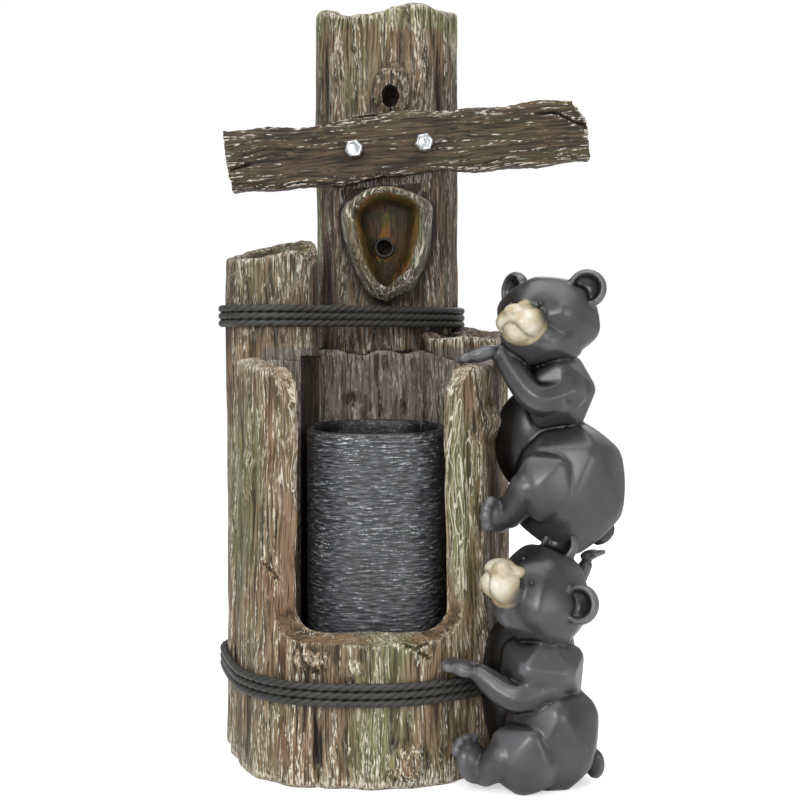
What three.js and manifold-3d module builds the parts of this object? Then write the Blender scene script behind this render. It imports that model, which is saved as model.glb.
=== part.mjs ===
// Garden fountain: a hollow log stump with a tall trunk and two shorter logs behind it,
// a rippled cascade vessel in its basin, a nailed-on crossboard, two bound ropes and two
// bear cubs that climb its right side. Millimetres, +Z up, origin on the ground at the
// stump's axis, front towards -Y.
import * as THREE from "three";
import { mergeVertices } from "three/addons/utils/BufferGeometryUtils.js";
import Module from "manifold-3d";

const wasm = await Module();
wasm.setup();

const DEGREE = Math.PI / 180;

// Clearance kept between pieces that touch
const FIT_GAP = 0.35;

// Hollow front stump
const STUMP_RADIUS = 156;
const STUMP_RIM_RADIUS = 148;
const STUMP_HEIGHT = 462;
const STUMP_WALL = 30;
const STUMP_SQUARENESS = 2.35;
const RIM_SLOPE = 8;
const BASIN_FLOOR = 45;
const BASIN_BACK_WALL = 12;
const LOG_WALL = 4;

// Front window, a U open at the rim, measured at the inner face of the wall
const WINDOW_LEFT = 74;
const WINDOW_RIGHT = 87;
const WINDOW_SILL = 165;
const WINDOW_CORNER = 28;
const WINDOW_FLARE = 42;
const WINDOW_TOP_WEAR = 20;
const WINDOW_TOP_DROP = 30;

// Tall trunk behind the stump
const TRUNK_X = 20;
const TRUNK_WIDTH = 176;
const TRUNK_DEPTH = 156;
const TRUNK_SET_BACK = 160;
const TRUNK_ABOVE_STUMP = 435;
const TRUNK_RIM_DIP = 16;

// Short log at the left and low log at the right rear
const LEFT_LOG_X = -115;
const LEFT_LOG_Y = 38;
const LEFT_LOG_RADIUS = 53;
const LEFT_LOG_ABOVE_STUMP = 130;
const LEFT_LOG_SLANT = 13;
const LEFT_LOG_CHIP = 22;
const RIGHT_LOG_X = 118;
const RIGHT_LOG_Y = 97;
const RIGHT_LOG_RADIUS = 53;
const RIGHT_LOG_ABOVE_STUMP = 31;

// Burl with the water outlet, and the knothole above the crossboard
const BURL_X = 23;
const BURL_HALF_WIDTH = 53;
const BURL_ABOVE_STUMP = 172;
const BURL_RISE = 35;
const BURL_DROP = 99;
const BURL_REACH = 50;
const BURL_HOLLOW = 42;
const OUTLET_X = 19;
const OUTLET_BELOW_BURL = 37;
const OUTLET_RADIUS = 12;
const OUTLET_WALL = 3;
const OUTLET_LENGTH = 32;
const OUTLET_SHOWS = 12;
const KNOT_X = 26;
const KNOT_ABOVE_STUMP = 330;
const KNOT_HALF_WIDTH = 25;
const KNOT_HALF_HEIGHT = 33;
const KNOT_HOLE_RADIUS = 11;

// Crossboard and its two bolts
const BOARD_X = 46;
const BOARD_ABOVE_STUMP = 259;
const BOARD_LENGTH = 440;
const BOARD_HEIGHT = 74;
const BOARD_THICKNESS = 30;
const BOARD_TILT = 5.05;
const BOARD_WAVE = 6.5;
const BOARD_SEAT = 11;
const BOARD_CORNER_CUT = 20;
const BOLT_SPREAD = 85.5;
const BOLT_CENTRE = -21.5;
const BOLT_HEAD_RADIUS = 11.5;
const BOLT_HEAD_HEIGHT = 8;
const BOLT_SHANK_RADIUS = 5;
const BOLT_GRIP = 14;

// Cascade vessel
const VESSEL_X = 10;
const VESSEL_Y = -14;
const VESSEL_HALF_WIDTH = 80;
const VESSEL_HALF_DEPTH = 75;
const VESSEL_LIP = 384;
const VESSEL_LIP_SLOPE = 4;
const VESSEL_WALL = 7;
const VESSEL_FLOOR = 8;
const VESSEL_SQUARENESS = 2.5;
const VESSEL_ROOM = 9;
const VESSEL_RIPPLES = 4;
const RIPPLE_DEPTH = 1.4;

// Ropes, each three turns lying on one another
const ROPE_DIAMETER = 8.6;
const ROPE_TURNS = 3;
const ROPE_SLACK = 0.8;
const LOWER_ROPE_Z = 105.5;
const UPPER_ROPE_ABOVE_STUMP = 51;
const ROPE_STEPS = 24;

// Bear cubs: standing height of the climbing figure and where each one clings
const CUB_HEIGHT = 300;
const UPPER_CUB_ANGLE = -17;
const UPPER_CUB_BELOW_RIM = 0;
const LOWER_CUB_ANGLE = -32;

// Mesh steps
const STUMP_SIDES = 40;
const TRUNK_SIDES = 26;
const SMALL_LOG_SIDES = 18;

const trunkY = TRUNK_SET_BACK;
const trunkFront = TRUNK_SET_BACK - TRUNK_DEPTH / 2;
const basinBack = trunkFront - BASIN_BACK_WALL;
const boardBack = trunkFront + BOARD_SEAT - FIT_GAP;
const boardY = boardBack - BOARD_THICKNESS / 2;
const boardFront = boardBack - BOARD_THICKNESS;
const upperRopeZ = STUMP_HEIGHT + UPPER_ROPE_ABOVE_STUMP;
const trunkHeight = STUMP_HEIGHT + TRUNK_ABOVE_STUMP;
const leftLogHeight = STUMP_HEIGHT + LEFT_LOG_ABOVE_STUMP;
const rightLogHeight = STUMP_HEIGHT + RIGHT_LOG_ABOVE_STUMP;
const burlZ = STUMP_HEIGHT + BURL_ABOVE_STUMP;
const outletZ = burlZ - OUTLET_BELOW_BURL;
const knotZ = STUMP_HEIGHT + KNOT_ABOVE_STUMP;
const boardZ = STUMP_HEIGHT + BOARD_ABOVE_STUMP;

// Distance to a superellipse of unit half-width in the given direction
function squareness(angle, exponent) {
  const across = Math.abs(Math.cos(angle)) ** exponent;
  const along = Math.abs(Math.sin(angle)) ** exponent;
  return (across + along) ** (-1 / exponent);
}

// 1 at the centre of a bump, falling smoothly to 0 at its edge
function bump(distance) {
  return Math.abs(distance) < 1 ? (1 - distance * distance) ** 2 : 0;
}

// Radius and angle of a lathe's vertex seen from above, the angle of the axis being 0
function polar(x, back) {
  const radius = Math.hypot(x, back);
  return [radius, radius > 1e-6 ? Math.atan2(-back, x) : 0];
}

function turnDifference(a, b) {
  return Math.atan2(Math.sin(a - b), Math.cos(a - b));
}

// Closed solid from a three.js geometry: only positions are kept, doubled vertices are
// merged, empty triangles dropped, and the faces are turned to point out
function solidOf(geometry) {
  const bare = new THREE.BufferGeometry();
  bare.setAttribute("position", geometry.getAttribute("position"));
  bare.setIndex(geometry.getIndex());
  const merged = mergeVertices(bare, 1e-3);
  const positions = merged.getAttribute("position").array;
  const corners = merged.getIndex().array;
  const kept = [];
  let volume = 0;
  for (let i = 0; i < corners.length; i += 3) {
    const [a, b, c] = corners.slice(i, i + 3);
    if (a === b || b === c || c === a) continue;
    kept.push(a, b, c);
    const [p, q, r] = [a, b, c].map((n) => new THREE.Vector3().fromArray(positions, 3 * n));
    volume += p.dot(q.cross(r));
  }
  if (volume < 0) kept.reverse();
  return new wasm.Manifold(new wasm.Mesh({
    numProp: 3,
    vertProperties: new Float32Array(positions),
    triVerts: new Uint32Array(kept),
  }));
}

// Moves every vertex of a geometry by a function of its place
function reshape(geometry, place) {
  const positions = geometry.getAttribute("position");
  for (let i = 0; i < positions.count; i++) {
    const [x, y, z] = place(positions.getX(i), positions.getY(i), positions.getZ(i));
    positions.setXYZ(i, x, y, z);
  }
  return geometry;
}

function join(solids) {
  return solids.reduce((sum, solid) => sum.add(solid));
}

function box(low, high) {
  const size = high.map((value, i) => value - low[i]);
  const geometry = new THREE.BoxGeometry(...size);
  return solidOf(geometry.translate(...low.map((value, i) => value + size[i] / 2)));
}

// Straight round pin along +Y
function pinAlongY(x, z, radius, fromY, toY, sides) {
  const geometry = new THREE.CylinderGeometry(radius, radius, toY - fromY, sides);
  return solidOf(geometry.translate(x, (fromY + toY) / 2, z));
}

// A log is a ring of rings: the outline of its section, its lobes and knots, and its rim
const stump = {
  x: 0,
  y: 0,
  baseRadius: STUMP_RADIUS,
  topRadius: STUMP_RIM_RADIUS,
  deep: 1,
  square: STUMP_SQUARENESS,
  height: STUMP_HEIGHT,
  lobes: [[3, 0.6, 1.6], [7, 1.9, 1.7], [13, 0.4, 1.5], [22, 2.2, 1.2]],
  knots: [[-74, 30, 10, 25, 8], [-111, 141, 10, 13, 6], [-23, 392, 16, 26, 8],
    [-152, 330, 16, 40, 6], [-127, 232, 9, 40, -6], [-109, 34, 4, 60, -6], [-94, 134, 5, 12, 3]],
  rim: (angle) => STUMP_HEIGHT + RIM_SLOPE * Math.sin(angle)
    + 2.5 * Math.cos(5 * angle + 1) + 2 * Math.cos(9 * angle),
  dish: 0,
  rings: 7,
  sides: STUMP_SIDES,
};

const trunk = {
  x: TRUNK_X,
  y: trunkY,
  baseRadius: TRUNK_WIDTH / 2 + 2,
  topRadius: TRUNK_WIDTH / 2 - 1,
  deep: TRUNK_DEPTH / TRUNK_WIDTH,
  square: 2.1,
  height: trunkHeight,
  lobes: [[4, 0.3, 1.5], [9, 1.1, 1.6], [14, 2.0, 1.3]],
  knots: [[-38, 800, 9, 130, -5], [-144, 640, 10, 60, 4], [-150, 800, 9, 80, -3]],
  rim: (angle) => trunkHeight + 2.5 * Math.cos(7 * angle + 1)
    - TRUNK_RIM_DIP * bump(turnDifference(angle, -112 * DEGREE) / 0.65)
    - 6 * bump(turnDifference(angle, 100 * DEGREE) / 0.9),
  dish: 26,
  rings: 8,
  sides: TRUNK_SIDES,
};

const leftLog = {
  x: LEFT_LOG_X,
  y: LEFT_LOG_Y,
  baseRadius: LEFT_LOG_RADIUS + 2,
  topRadius: LEFT_LOG_RADIUS - 1,
  deep: 1,
  square: 2.2,
  height: leftLogHeight,
  lobes: [[3, 2.1, 1.4], [8, 0.5, 1.4]],
  knots: [[-120, 540, 16, 30, -3], [-60, 380, 18, 50, 3]],
  rim: (angle) => leftLogHeight + LEFT_LOG_SLANT * Math.sin(angle + 0.8)
    - LEFT_LOG_CHIP * bump(turnDifference(angle, -20 * DEGREE) / 0.7),
  dish: 20,
  rings: 6,
  sides: SMALL_LOG_SIDES,
};

const rightLog = {
  x: RIGHT_LOG_X,
  y: RIGHT_LOG_Y,
  baseRadius: RIGHT_LOG_RADIUS + 2,
  topRadius: RIGHT_LOG_RADIUS - 1,
  deep: 1,
  square: 2.2,
  height: rightLogHeight,
  lobes: [[3, 0.8, 1.4], [8, 2.5, 1.4]],
  knots: [[20, 260, 20, 60, 4]],
  rim: (angle) => rightLogHeight + 6 * Math.sin(angle) + 2 * Math.cos(4 * angle),
  dish: 10,
  rings: 4,
  sides: SMALL_LOG_SIDES,
};

// Share of the radius where a log's top rim gives way to its dished heartwood
const RIM_SHARE = 0.84;
const BASE_ROUND = 5;

function logRadius(log, angle, z) {
  const taper = log.baseRadius + (log.topRadius - log.baseRadius) * (z / log.height);
  let carved = 0;
  for (const [count, phase, depth] of log.lobes) {
    carved += depth * Math.cos(count * angle + phase + 1.5 * Math.sin(z / 170 + count));
  }
  for (const [degrees, height, halfAngle, halfHeight, rise] of log.knots) {
    const across = turnDifference(angle, degrees * DEGREE) / (halfAngle * DEGREE);
    carved += rise * bump(Math.hypot(across, (z - height) / halfHeight));
  }
  return taper * squareness(angle, log.square) + carved;
}

// Point of a log's surface; share 1 is the bark, less than 1 is on its end faces
function logPoint(log, share, angle, level, grow) {
  const z = -grow + level * (log.rim(angle) + 2 * grow);
  const radius = share * (logRadius(log, angle, z) + grow);
  const hollow = level === 1 && share < RIM_SHARE ? 1 - (share / RIM_SHARE) ** 2 : 0;
  return [
    log.x + radius * Math.cos(angle),
    log.y + radius * Math.sin(angle) * log.deep,
    z - hollow * log.dish,
  ];
}

function logSolid(log, grow = 0) {
  const profile = [new THREE.Vector2(0, 0), new THREE.Vector2(1 - BASE_ROUND / log.baseRadius, 0)];
  const lowest = BASE_ROUND / log.height;
  for (let ring = 0; ring < log.rings; ring++) {
    profile.push(new THREE.Vector2(1, lowest + (1 - 2 * lowest) * (ring / (log.rings - 1))));
  }
  profile.push(new THREE.Vector2(0.975, 1));
  if (log.dish > 0) profile.push(new THREE.Vector2(RIM_SHARE, 1), new THREE.Vector2(0.6, 1));
  profile.push(new THREE.Vector2(0, 1));
  const geometry = new THREE.LatheGeometry(profile, log.sides);
  return solidOf(reshape(geometry, (x, level, z) => {
    const [share, angle] = polar(x, z);
    return logPoint(log, share, angle, level, grow);
  }));
}

// Room inside the stump: its outline less the wall, kept clear of the logs that pass
// down through it, with a flat floor and a flat back in front of the trunk
function basinSolid(grow) {
  const top = STUMP_HEIGHT + 40;
  const profile = [[0, BASIN_FLOOR], [0.96, BASIN_FLOOR], [1, BASIN_FLOOR + 6], [1, STUMP_HEIGHT / 2],
    [1, top], [0, top]];
  const points = profile.map(([share, z]) => new THREE.Vector2(share, z));
  const geometry = new THREE.LatheGeometry(points, 18);
  const room = solidOf(reshape(geometry, (x, z, back) => {
    const [share, angle] = polar(x, back);
    const wall = STUMP_WALL + 2 * Math.cos(4 * angle) * Math.sin(z / 90);
    const radius = share * (STUMP_RADIUS * squareness(angle, STUMP_SQUARENESS) - wall - grow);
    return [radius * Math.cos(angle), radius * Math.sin(angle), z < STUMP_HEIGHT / 4 ? z + grow : z];
  }));
  const reach = 2 * STUMP_RADIUS;
  const behind = box([-reach, basinBack - grow, -10], [reach, basinBack + reach, 2 * top]);
  return room.subtract(behind)
    .subtract(logSolid(leftLog, LOG_WALL + grow))
    .subtract(logSolid(rightLog, LOG_WALL + grow))
    .add(vesselRoom(grow));
}

// Upright room round the vessel up to the rim, cut out of any log that would stand in its way
function vesselRoom(grow) {
  const top = STUMP_HEIGHT + RIM_SLOPE / 2;
  const geometry = new THREE.CylinderGeometry(1, 1, top - BASIN_FLOOR - grow, 20);
  return solidOf(reshape(geometry, (x, height, back) => {
    const [share, angle] = polar(x, back);
    const radius = share * squareness(angle, VESSEL_SQUARENESS);
    return [
      VESSEL_X + (VESSEL_HALF_WIDTH + VESSEL_ROOM - grow) * radius * Math.cos(angle),
      Math.min(VESSEL_Y + (VESSEL_HALF_DEPTH + VESSEL_ROOM - grow) * radius * Math.sin(angle), basinBack),
      height + (top + BASIN_FLOOR + grow) / 2,
    ];
  }));
}

// Cutter for the front window: a U that widens outwards, with its upper corners worn
function windowSolid(grow) {
  const left = -WINDOW_LEFT + grow;
  const right = WINDOW_RIGHT - grow;
  const sill = WINDOW_SILL + grow;
  const rim = STUMP_HEIGHT - RIM_SLOPE;
  const wearStart = rim - WINDOW_TOP_DROP;
  const top = rim + 60;
  const shape = new THREE.Shape();
  shape.moveTo(left, sill + WINDOW_CORNER);
  shape.quadraticCurveTo(left, sill, left + WINDOW_CORNER, sill);
  shape.lineTo(right - WINDOW_CORNER, sill);
  shape.quadraticCurveTo(right, sill, right, sill + WINDOW_CORNER);
  shape.lineTo(right, (sill + wearStart) / 2);
  shape.lineTo(right, wearStart);
  shape.quadraticCurveTo(right, rim, right + WINDOW_TOP_WEAR, rim + 8);
  shape.lineTo(right + WINDOW_TOP_WEAR, top);
  shape.lineTo(left - WINDOW_TOP_WEAR, top);
  shape.lineTo(left - WINDOW_TOP_WEAR, rim + 8);
  shape.quadraticCurveTo(left, rim, left, wearStart);
  shape.lineTo(left, (sill + wearStart) / 2);
  const startY = -STUMP_RADIUS / 3;
  const depth = STUMP_RADIUS * 0.76;
  const geometry = new THREE.ExtrudeGeometry(shape, {
    depth, steps: 6, curveSegments: 4, bevelEnabled: false,
  });
  const innerRadius = STUMP_RADIUS - STUMP_WALL;
  const centre = (left + right) / 2;
  const half = (right - left) / 2;
  return solidOf(reshape(geometry, (x, z, forward) => {
    const y = startY - forward;
    const aside = Math.min(1, Math.abs(x) / innerRadius) ** STUMP_SQUARENESS;
    const innerFace = -innerRadius * (1 - aside) ** (1 / STUMP_SQUARENESS);
    const out = Math.max(0, (innerFace - y) / STUMP_WALL);
    const widen = 1 + out * WINDOW_FLARE / half;
    const wave = out * 3 * Math.sin(z / 38 + (x > centre ? 1 : 3));
    const lower = out * 8 * Math.max(0, 1 - (z - sill) / (2 * WINDOW_CORNER));
    return [centre + (x - centre) * widen + wave, y, z - lower];
  }));
}

// Teardrop outline of the burl: half turn 0 is its top, pi its pointed lower lip
function burlOutline(turn, across, rise, drop) {
  const side = Math.sin(turn);
  const up = Math.cos(turn);
  const pinch = up < 0 ? Math.abs(side) ** 0.35 : 1;
  return [across * side * pinch, up > 0 ? rise * up : drop * up];
}

// The burl's thick lips, joined to the trunk, with the hollow behind them
function burlSolid(grow) {
  const lipY = trunkFront - BURL_REACH;
  const sections = [
    [0, trunkFront + 40, 0], [1.04, trunkFront + 40, 0], [1.05, trunkFront, 0],
    [1.02, trunkFront - 0.45 * BURL_REACH, 0], [0.95, lipY + 6, 0], [0.87, lipY, 0],
    [0.76, lipY + 1, 0.3], [0.67, lipY + 10, 0.7], [0.56, lipY + BURL_HOLLOW - 8, 0.9],
    [0.4, lipY + BURL_HOLLOW, 1], [0, lipY + BURL_HOLLOW, 1],
  ];
  const points = sections.map(([share, , inner], i) => new THREE.Vector2(share, i));
  const geometry = new THREE.LatheGeometry(points, 16);
  return solidOf(reshape(geometry, (x, index, z) => {
    const [share, y, inner] = sections[Math.round(index)];
    const turn = share > 0 ? Math.atan2(x, -z) : 0;
    const [across, rise] = burlOutline(turn, BURL_HALF_WIDTH, BURL_RISE, BURL_DROP);
    const lump = 1 + 0.03 * Math.cos(5 * turn + 1) - (inner ? 0 : grow / BURL_HALF_WIDTH);
    const low = rise < 0 ? 1 + 0.42 * inner * (-rise / BURL_DROP) : 1;
    return [BURL_X + across * share * lump, y, burlZ + rise * share * low];
  }));
}

// Knothole above the crossboard: a raised oval swelling with a deep hole low in it
function knotSolid() {
  const geometry = new THREE.SphereGeometry(1, 12, 7);
  return solidOf(reshape(geometry, (x, y, z) => [
    KNOT_X + KNOT_HALF_WIDTH * x,
    trunkFront + 4 + 15 * z,
    knotZ + KNOT_HALF_HEIGHT * y,
  ]));
}

function knotHoleSolid() {
  const geometry = new THREE.SphereGeometry(1, 9, 6);
  return solidOf(reshape(geometry, (x, y, z) => [
    KNOT_X + KNOT_HOLE_RADIUS * x,
    trunkFront - 8 + 30 * z,
    knotZ - 10 + 1.25 * KNOT_HOLE_RADIUS * y,
  ]));
}

// Places something drawn flat at the crossboard's centre into its tilted pose
function onBoard(solidGeometry) {
  solidGeometry.rotateY(-BOARD_TILT * DEGREE);
  return solidGeometry.translate(BOARD_X, boardY, boardZ);
}

function boardSeat() {
  const depth = BOARD_THICKNESS + 2 * FIT_GAP;
  const geometry = new THREE.BoxGeometry(BOARD_LENGTH, depth, BOARD_HEIGHT + 2 * BOARD_WAVE);
  return solidOf(onBoard(geometry));
}

function boardSolid() {
  const geometry = new THREE.BoxGeometry(BOARD_LENGTH, BOARD_THICKNESS, BOARD_HEIGHT, 14, 1, 3);
  const halfLength = BOARD_LENGTH / 2;
  const halfHeight = BOARD_HEIGHT / 2;
  reshape(geometry, (x, y, z) => {
    const along = x / halfLength;
    const up = z / halfHeight;
    const edge = up * Math.abs(up) * (0.34 * Math.sin(x / 31 + 2 * up) + 0.22 * Math.cos(x / 13));
    const bow = 0.38 * Math.sin(x / 70 + 1);
    const cutCorner = along > 0.99 && up > 0.3 ? -BOARD_CORNER_CUT * up * up : 0;
    const slantedEnd = along < -0.99 ? 5 * Math.max(0, -up) : 0;
    const front = y < 0 ? 1 - Math.abs(up) ** 6 : 0;
    const grain = 1.6 * Math.cos(up * 5 + x / 60) + 0.9 * Math.sin(x / 23 + 4 * up);
    return [x + cutCorner + slantedEnd, y + front * grain, z + BOARD_WAVE * (edge + bow)];
  });
  return solidOf(onBoard(geometry));
}

// Hex-headed bolt standing square to the crossboard, its shank passing into the trunk
function boltCentre(side) {
  const along = BOLT_CENTRE + side * BOLT_SPREAD / 2;
  return [
    BOARD_X + along * Math.cos(BOARD_TILT * DEGREE),
    boardZ + along * Math.sin(BOARD_TILT * DEGREE),
  ];
}

function boltHole(side, grow) {
  const [x, z] = boltCentre(side);
  const end = boardBack + BOLT_GRIP + (grow > 0 ? 1 : 0);
  return pinAlongY(x, z, BOLT_SHANK_RADIUS + grow, boardFront - 1, end, 8);
}

function boltSolid(side) {
  const [x, z] = boltCentre(side);
  const seatY = boardFront - 2.6;
  const points = [[0, 0], [0.86, 0], [1, 1.6], [1, BOLT_HEAD_HEIGHT], [0, BOLT_HEAD_HEIGHT]];
  const profile = points.map(([share, y]) => new THREE.Vector2(share * BOLT_HEAD_RADIUS, y));
  const head = new THREE.LatheGeometry(profile, 6);
  head.rotateY(12 * DEGREE);
  head.translate(x, seatY - BOLT_HEAD_HEIGHT, z);
  return solidOf(head).add(pinAlongY(x, z, BOLT_SHANK_RADIUS, seatY - 1, boardBack + BOLT_GRIP, 8));
}

function outletHole() {
  const fromY = trunkFront - BURL_REACH + 10;
  const toY = trunkFront - BURL_REACH + BURL_HOLLOW + OUTLET_LENGTH - OUTLET_SHOWS + 1;
  return pinAlongY(OUTLET_X, outletZ, OUTLET_RADIUS + FIT_GAP, fromY, toY, 12);
}

function outletSolid() {
  const bore = OUTLET_RADIUS - OUTLET_WALL;
  const outline = [[bore, 0], [OUTLET_RADIUS, 0], [OUTLET_RADIUS, OUTLET_LENGTH], [bore, OUTLET_LENGTH],
    [bore, 0]];
  const points = outline.map(([radius, y]) => new THREE.Vector2(radius, y));
  const geometry = new THREE.LatheGeometry(points, 12);
  const mouthY = trunkFront - BURL_REACH + BURL_HOLLOW - OUTLET_SHOWS;
  return solidOf(geometry.translate(OUTLET_X, mouthY, outletZ));
}

// The whole casting; grow makes the fatter copy that neighbouring pieces are cut by
function logBodySolid(grow = 0) {
  const outside = join([
    logSolid(stump, grow), logSolid(trunk, grow), logSolid(leftLog, grow), logSolid(rightLog, grow),
  ]);
  const hollow = outside.subtract(basinSolid(grow)).subtract(windowSolid(grow));
  if (grow > 0) return hollow;
  let body = hollow.add(knotSolid()).subtract(knotHoleSolid());
  body = body.subtract(burlHollow()).add(burlSolid(0));
  body = body.subtract(outletHole()).subtract(boardSeat());
  for (const side of [-1, 1]) body = body.subtract(boltHole(side, FIT_GAP));
  return body;
}

// Clears the trunk's own bark out of the burl's hollow before the burl is joined on
function burlHollow() {
  const lipY = trunkFront - BURL_REACH;
  const depth = BURL_HOLLOW;
  const geometry = new THREE.CylinderGeometry(0.36 * BURL_HALF_WIDTH, 0.36 * BURL_HALF_WIDTH, depth, 12);
  return solidOf(geometry.translate(BURL_X, lipY + depth / 2, burlZ - 12));
}

// Cascade vessel: an open bucket whose walls carry shallow level ripples
function vesselSolid() {
  const bottom = BASIN_FLOOR + FIT_GAP;
  const lip = VESSEL_LIP;
  const inner = 1 - VESSEL_WALL / VESSEL_HALF_WIDTH;
  const profile = [[0, bottom], [0.97, bottom], [1, bottom + 4]];
  for (let ripple = 0; ripple < 2 * VESSEL_RIPPLES; ripple++) {
    const share = 1 - (ripple % 2) * RIPPLE_DEPTH / VESSEL_HALF_WIDTH;
    profile.push([share, bottom + 12 + (lip - bottom - 22) * ripple / (2 * VESSEL_RIPPLES - 1)]);
  }
  profile.push([0.99, lip], [inner, lip], [inner, bottom + VESSEL_FLOOR], [0, bottom + VESSEL_FLOOR]);
  const points = profile.map(([share, z]) => new THREE.Vector2(share, z));
  const geometry = new THREE.LatheGeometry(points, 22);
  return solidOf(reshape(geometry, (x, z, back) => {
    const [share, angle] = polar(x, back);
    const radius = share * squareness(angle, VESSEL_SQUARENESS);
    const slope = z > bottom + VESSEL_FLOOR + 1 ? VESSEL_LIP_SLOPE * Math.sin(angle) : 0;
    return [
      VESSEL_X + VESSEL_HALF_WIDTH * radius * Math.cos(angle),
      VESSEL_Y + VESSEL_HALF_DEPTH * radius * Math.sin(angle),
      z + slope,
    ];
  }));
}

// Corners of a rope drawn taut round the logs that it binds: the flats that touch the
// logs in evenly turned directions are found, and each corner is where two flats meet
function ropeCorners(logs, z) {
  const reach = (ROPE_TURNS * ROPE_DIAMETER) / 2;
  const stand = ROPE_DIAMETER / 2 + FIT_GAP + ROPE_SLACK;
  const bark = [];
  for (const log of logs) {
    for (let step = 0; step < 96; step++) {
      const angle = (step / 96) * 2 * Math.PI;
      for (const level of [z - reach, z, z + reach]) {
        const radius = logRadius(log, angle, level);
        bark.push([log.x + radius * Math.cos(angle), log.y + radius * Math.sin(angle) * log.deep]);
      }
    }
  }
  const flats = [];
  for (let step = 0; step < ROPE_STEPS; step++) {
    const turn = (step / ROPE_STEPS) * 2 * Math.PI;
    const distances = bark.map(([x, y]) => x * Math.cos(turn) + y * Math.sin(turn));
    flats.push({ turn, distance: Math.max(...distances) + stand });
  }
  return flats.map((flat, i) => {
    const next = flats[(i + 1) % flats.length];
    const spread = Math.sin(next.turn - flat.turn);
    const x = (flat.distance * Math.sin(next.turn) - next.distance * Math.sin(flat.turn)) / spread;
    const y = (next.distance * Math.cos(flat.turn) - flat.distance * Math.cos(next.turn)) / spread;
    return { place: new THREE.Vector3(x, y, z), turn: flat.turn + Math.PI / ROPE_STEPS };
  });
}

// Section of the bound rope: one round lobe for each turn outside, and a plain back
function ropeSection(grow) {
  const radius = ROPE_DIAMETER / 2 + grow;
  const halfStack = (ROPE_TURNS * ROPE_DIAMETER) / 2 + grow;
  const points = [[-radius, 0.9 * halfStack], [-radius, -0.9 * halfStack]];
  for (let turn = 0; turn < ROPE_TURNS; turn++) {
    const centre = (turn - (ROPE_TURNS - 1) / 2) * ROPE_DIAMETER;
    for (const swing of [-34, 34]) {
      const angle = swing * DEGREE;
      points.push([radius * Math.cos(angle), centre + radius * Math.sin(angle)]);
    }
    if (turn < ROPE_TURNS - 1) points.push([0.45 * radius, centre + ROPE_DIAMETER / 2]);
  }
  return points;
}

function ropeSolid(logs, z, grow = 0) {
  const section = ropeSection(grow);
  const rows = section.length;
  const positions = [];
  for (const corner of ropeCorners(logs, z)) {
    const out = new THREE.Vector3(Math.cos(corner.turn), Math.sin(corner.turn), 0);
    for (const [stand, rise] of section) {
      const place = corner.place.clone().addScaledVector(out, stand);
      positions.push(place.x, place.y, place.z + rise);
    }
  }
  const faces = [];
  for (let step = 0; step < ROPE_STEPS; step++) {
    const next = (step + 1) % ROPE_STEPS;
    for (let row = 0; row < rows; row++) {
      const [a, b] = [step * rows + row, step * rows + ((row + 1) % rows)];
      const [c, d] = [next * rows + row, next * rows + ((row + 1) % rows)];
      faces.push(a, c, b, b, c, d);
    }
  }
  const geometry = new THREE.BufferGeometry();
  geometry.setAttribute("position", new THREE.Float32BufferAttribute(positions, 3));
  geometry.setIndex(faces);
  return solidOf(geometry);
}

// Bear cub: rounded body masses and tapered limbs in the cub's own frame, where x is
// forwards to the stump, y its left and z up; sizes are those of a cub 300 mm tall
function mass(centre, radii, detail = 2, frame = null) {
  const geometry = new THREE.IcosahedronGeometry(1, detail);
  geometry.scale(...radii);
  if (frame) geometry.applyMatrix4(frame);
  return geometry.translate(...centre);
}

// Tapered limb bent through a few points, with a rounded cap at each end
function limb(points, radii, sides = 6) {
  const path = points.map((point) => new THREE.Vector3(...point));
  const first = path[0].clone().sub(path[1]).normalize();
  const last = path.at(-1).clone().sub(path.at(-2)).normalize();
  const rings = [
    [path[0].clone().addScaledVector(first, radii[0]), 0],
    [path[0].clone().addScaledVector(first, 0.6 * radii[0]), 0.75 * radii[0]],
    ...path.map((point, i) => [point, radii[i]]),
    [path.at(-1).clone().addScaledVector(last, 0.9 * radii.at(-1)), 0],
  ];
  const profile = rings.map(([, radius], i) => new THREE.Vector2(radius, i));
  const geometry = new THREE.LatheGeometry(profile, sides);
  return reshape(geometry, (x, index, z) => {
    const ring = Math.round(index);
    const before = rings[Math.max(ring - 1, 0)][0];
    const after = rings[Math.min(ring + 1, rings.length - 1)][0];
    const along = after.clone().sub(before).normalize();
    const side = new THREE.Vector3(0, 0, 1).cross(along).normalize();
    const up = new THREE.Vector3().crossVectors(along, side);
    return rings[ring][0].clone().addScaledVector(side, x).addScaledVector(up, z).toArray();
  });
}

// Frame of a head or paw from the way it faces and the way its top points
function facing(forward, up) {
  const x = new THREE.Vector3(...forward).normalize();
  const y = new THREE.Vector3(...up).cross(x).normalize();
  const z = new THREE.Vector3().crossVectors(x, y);
  return new THREE.Matrix4().makeBasis(x, y, z);
}

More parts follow.
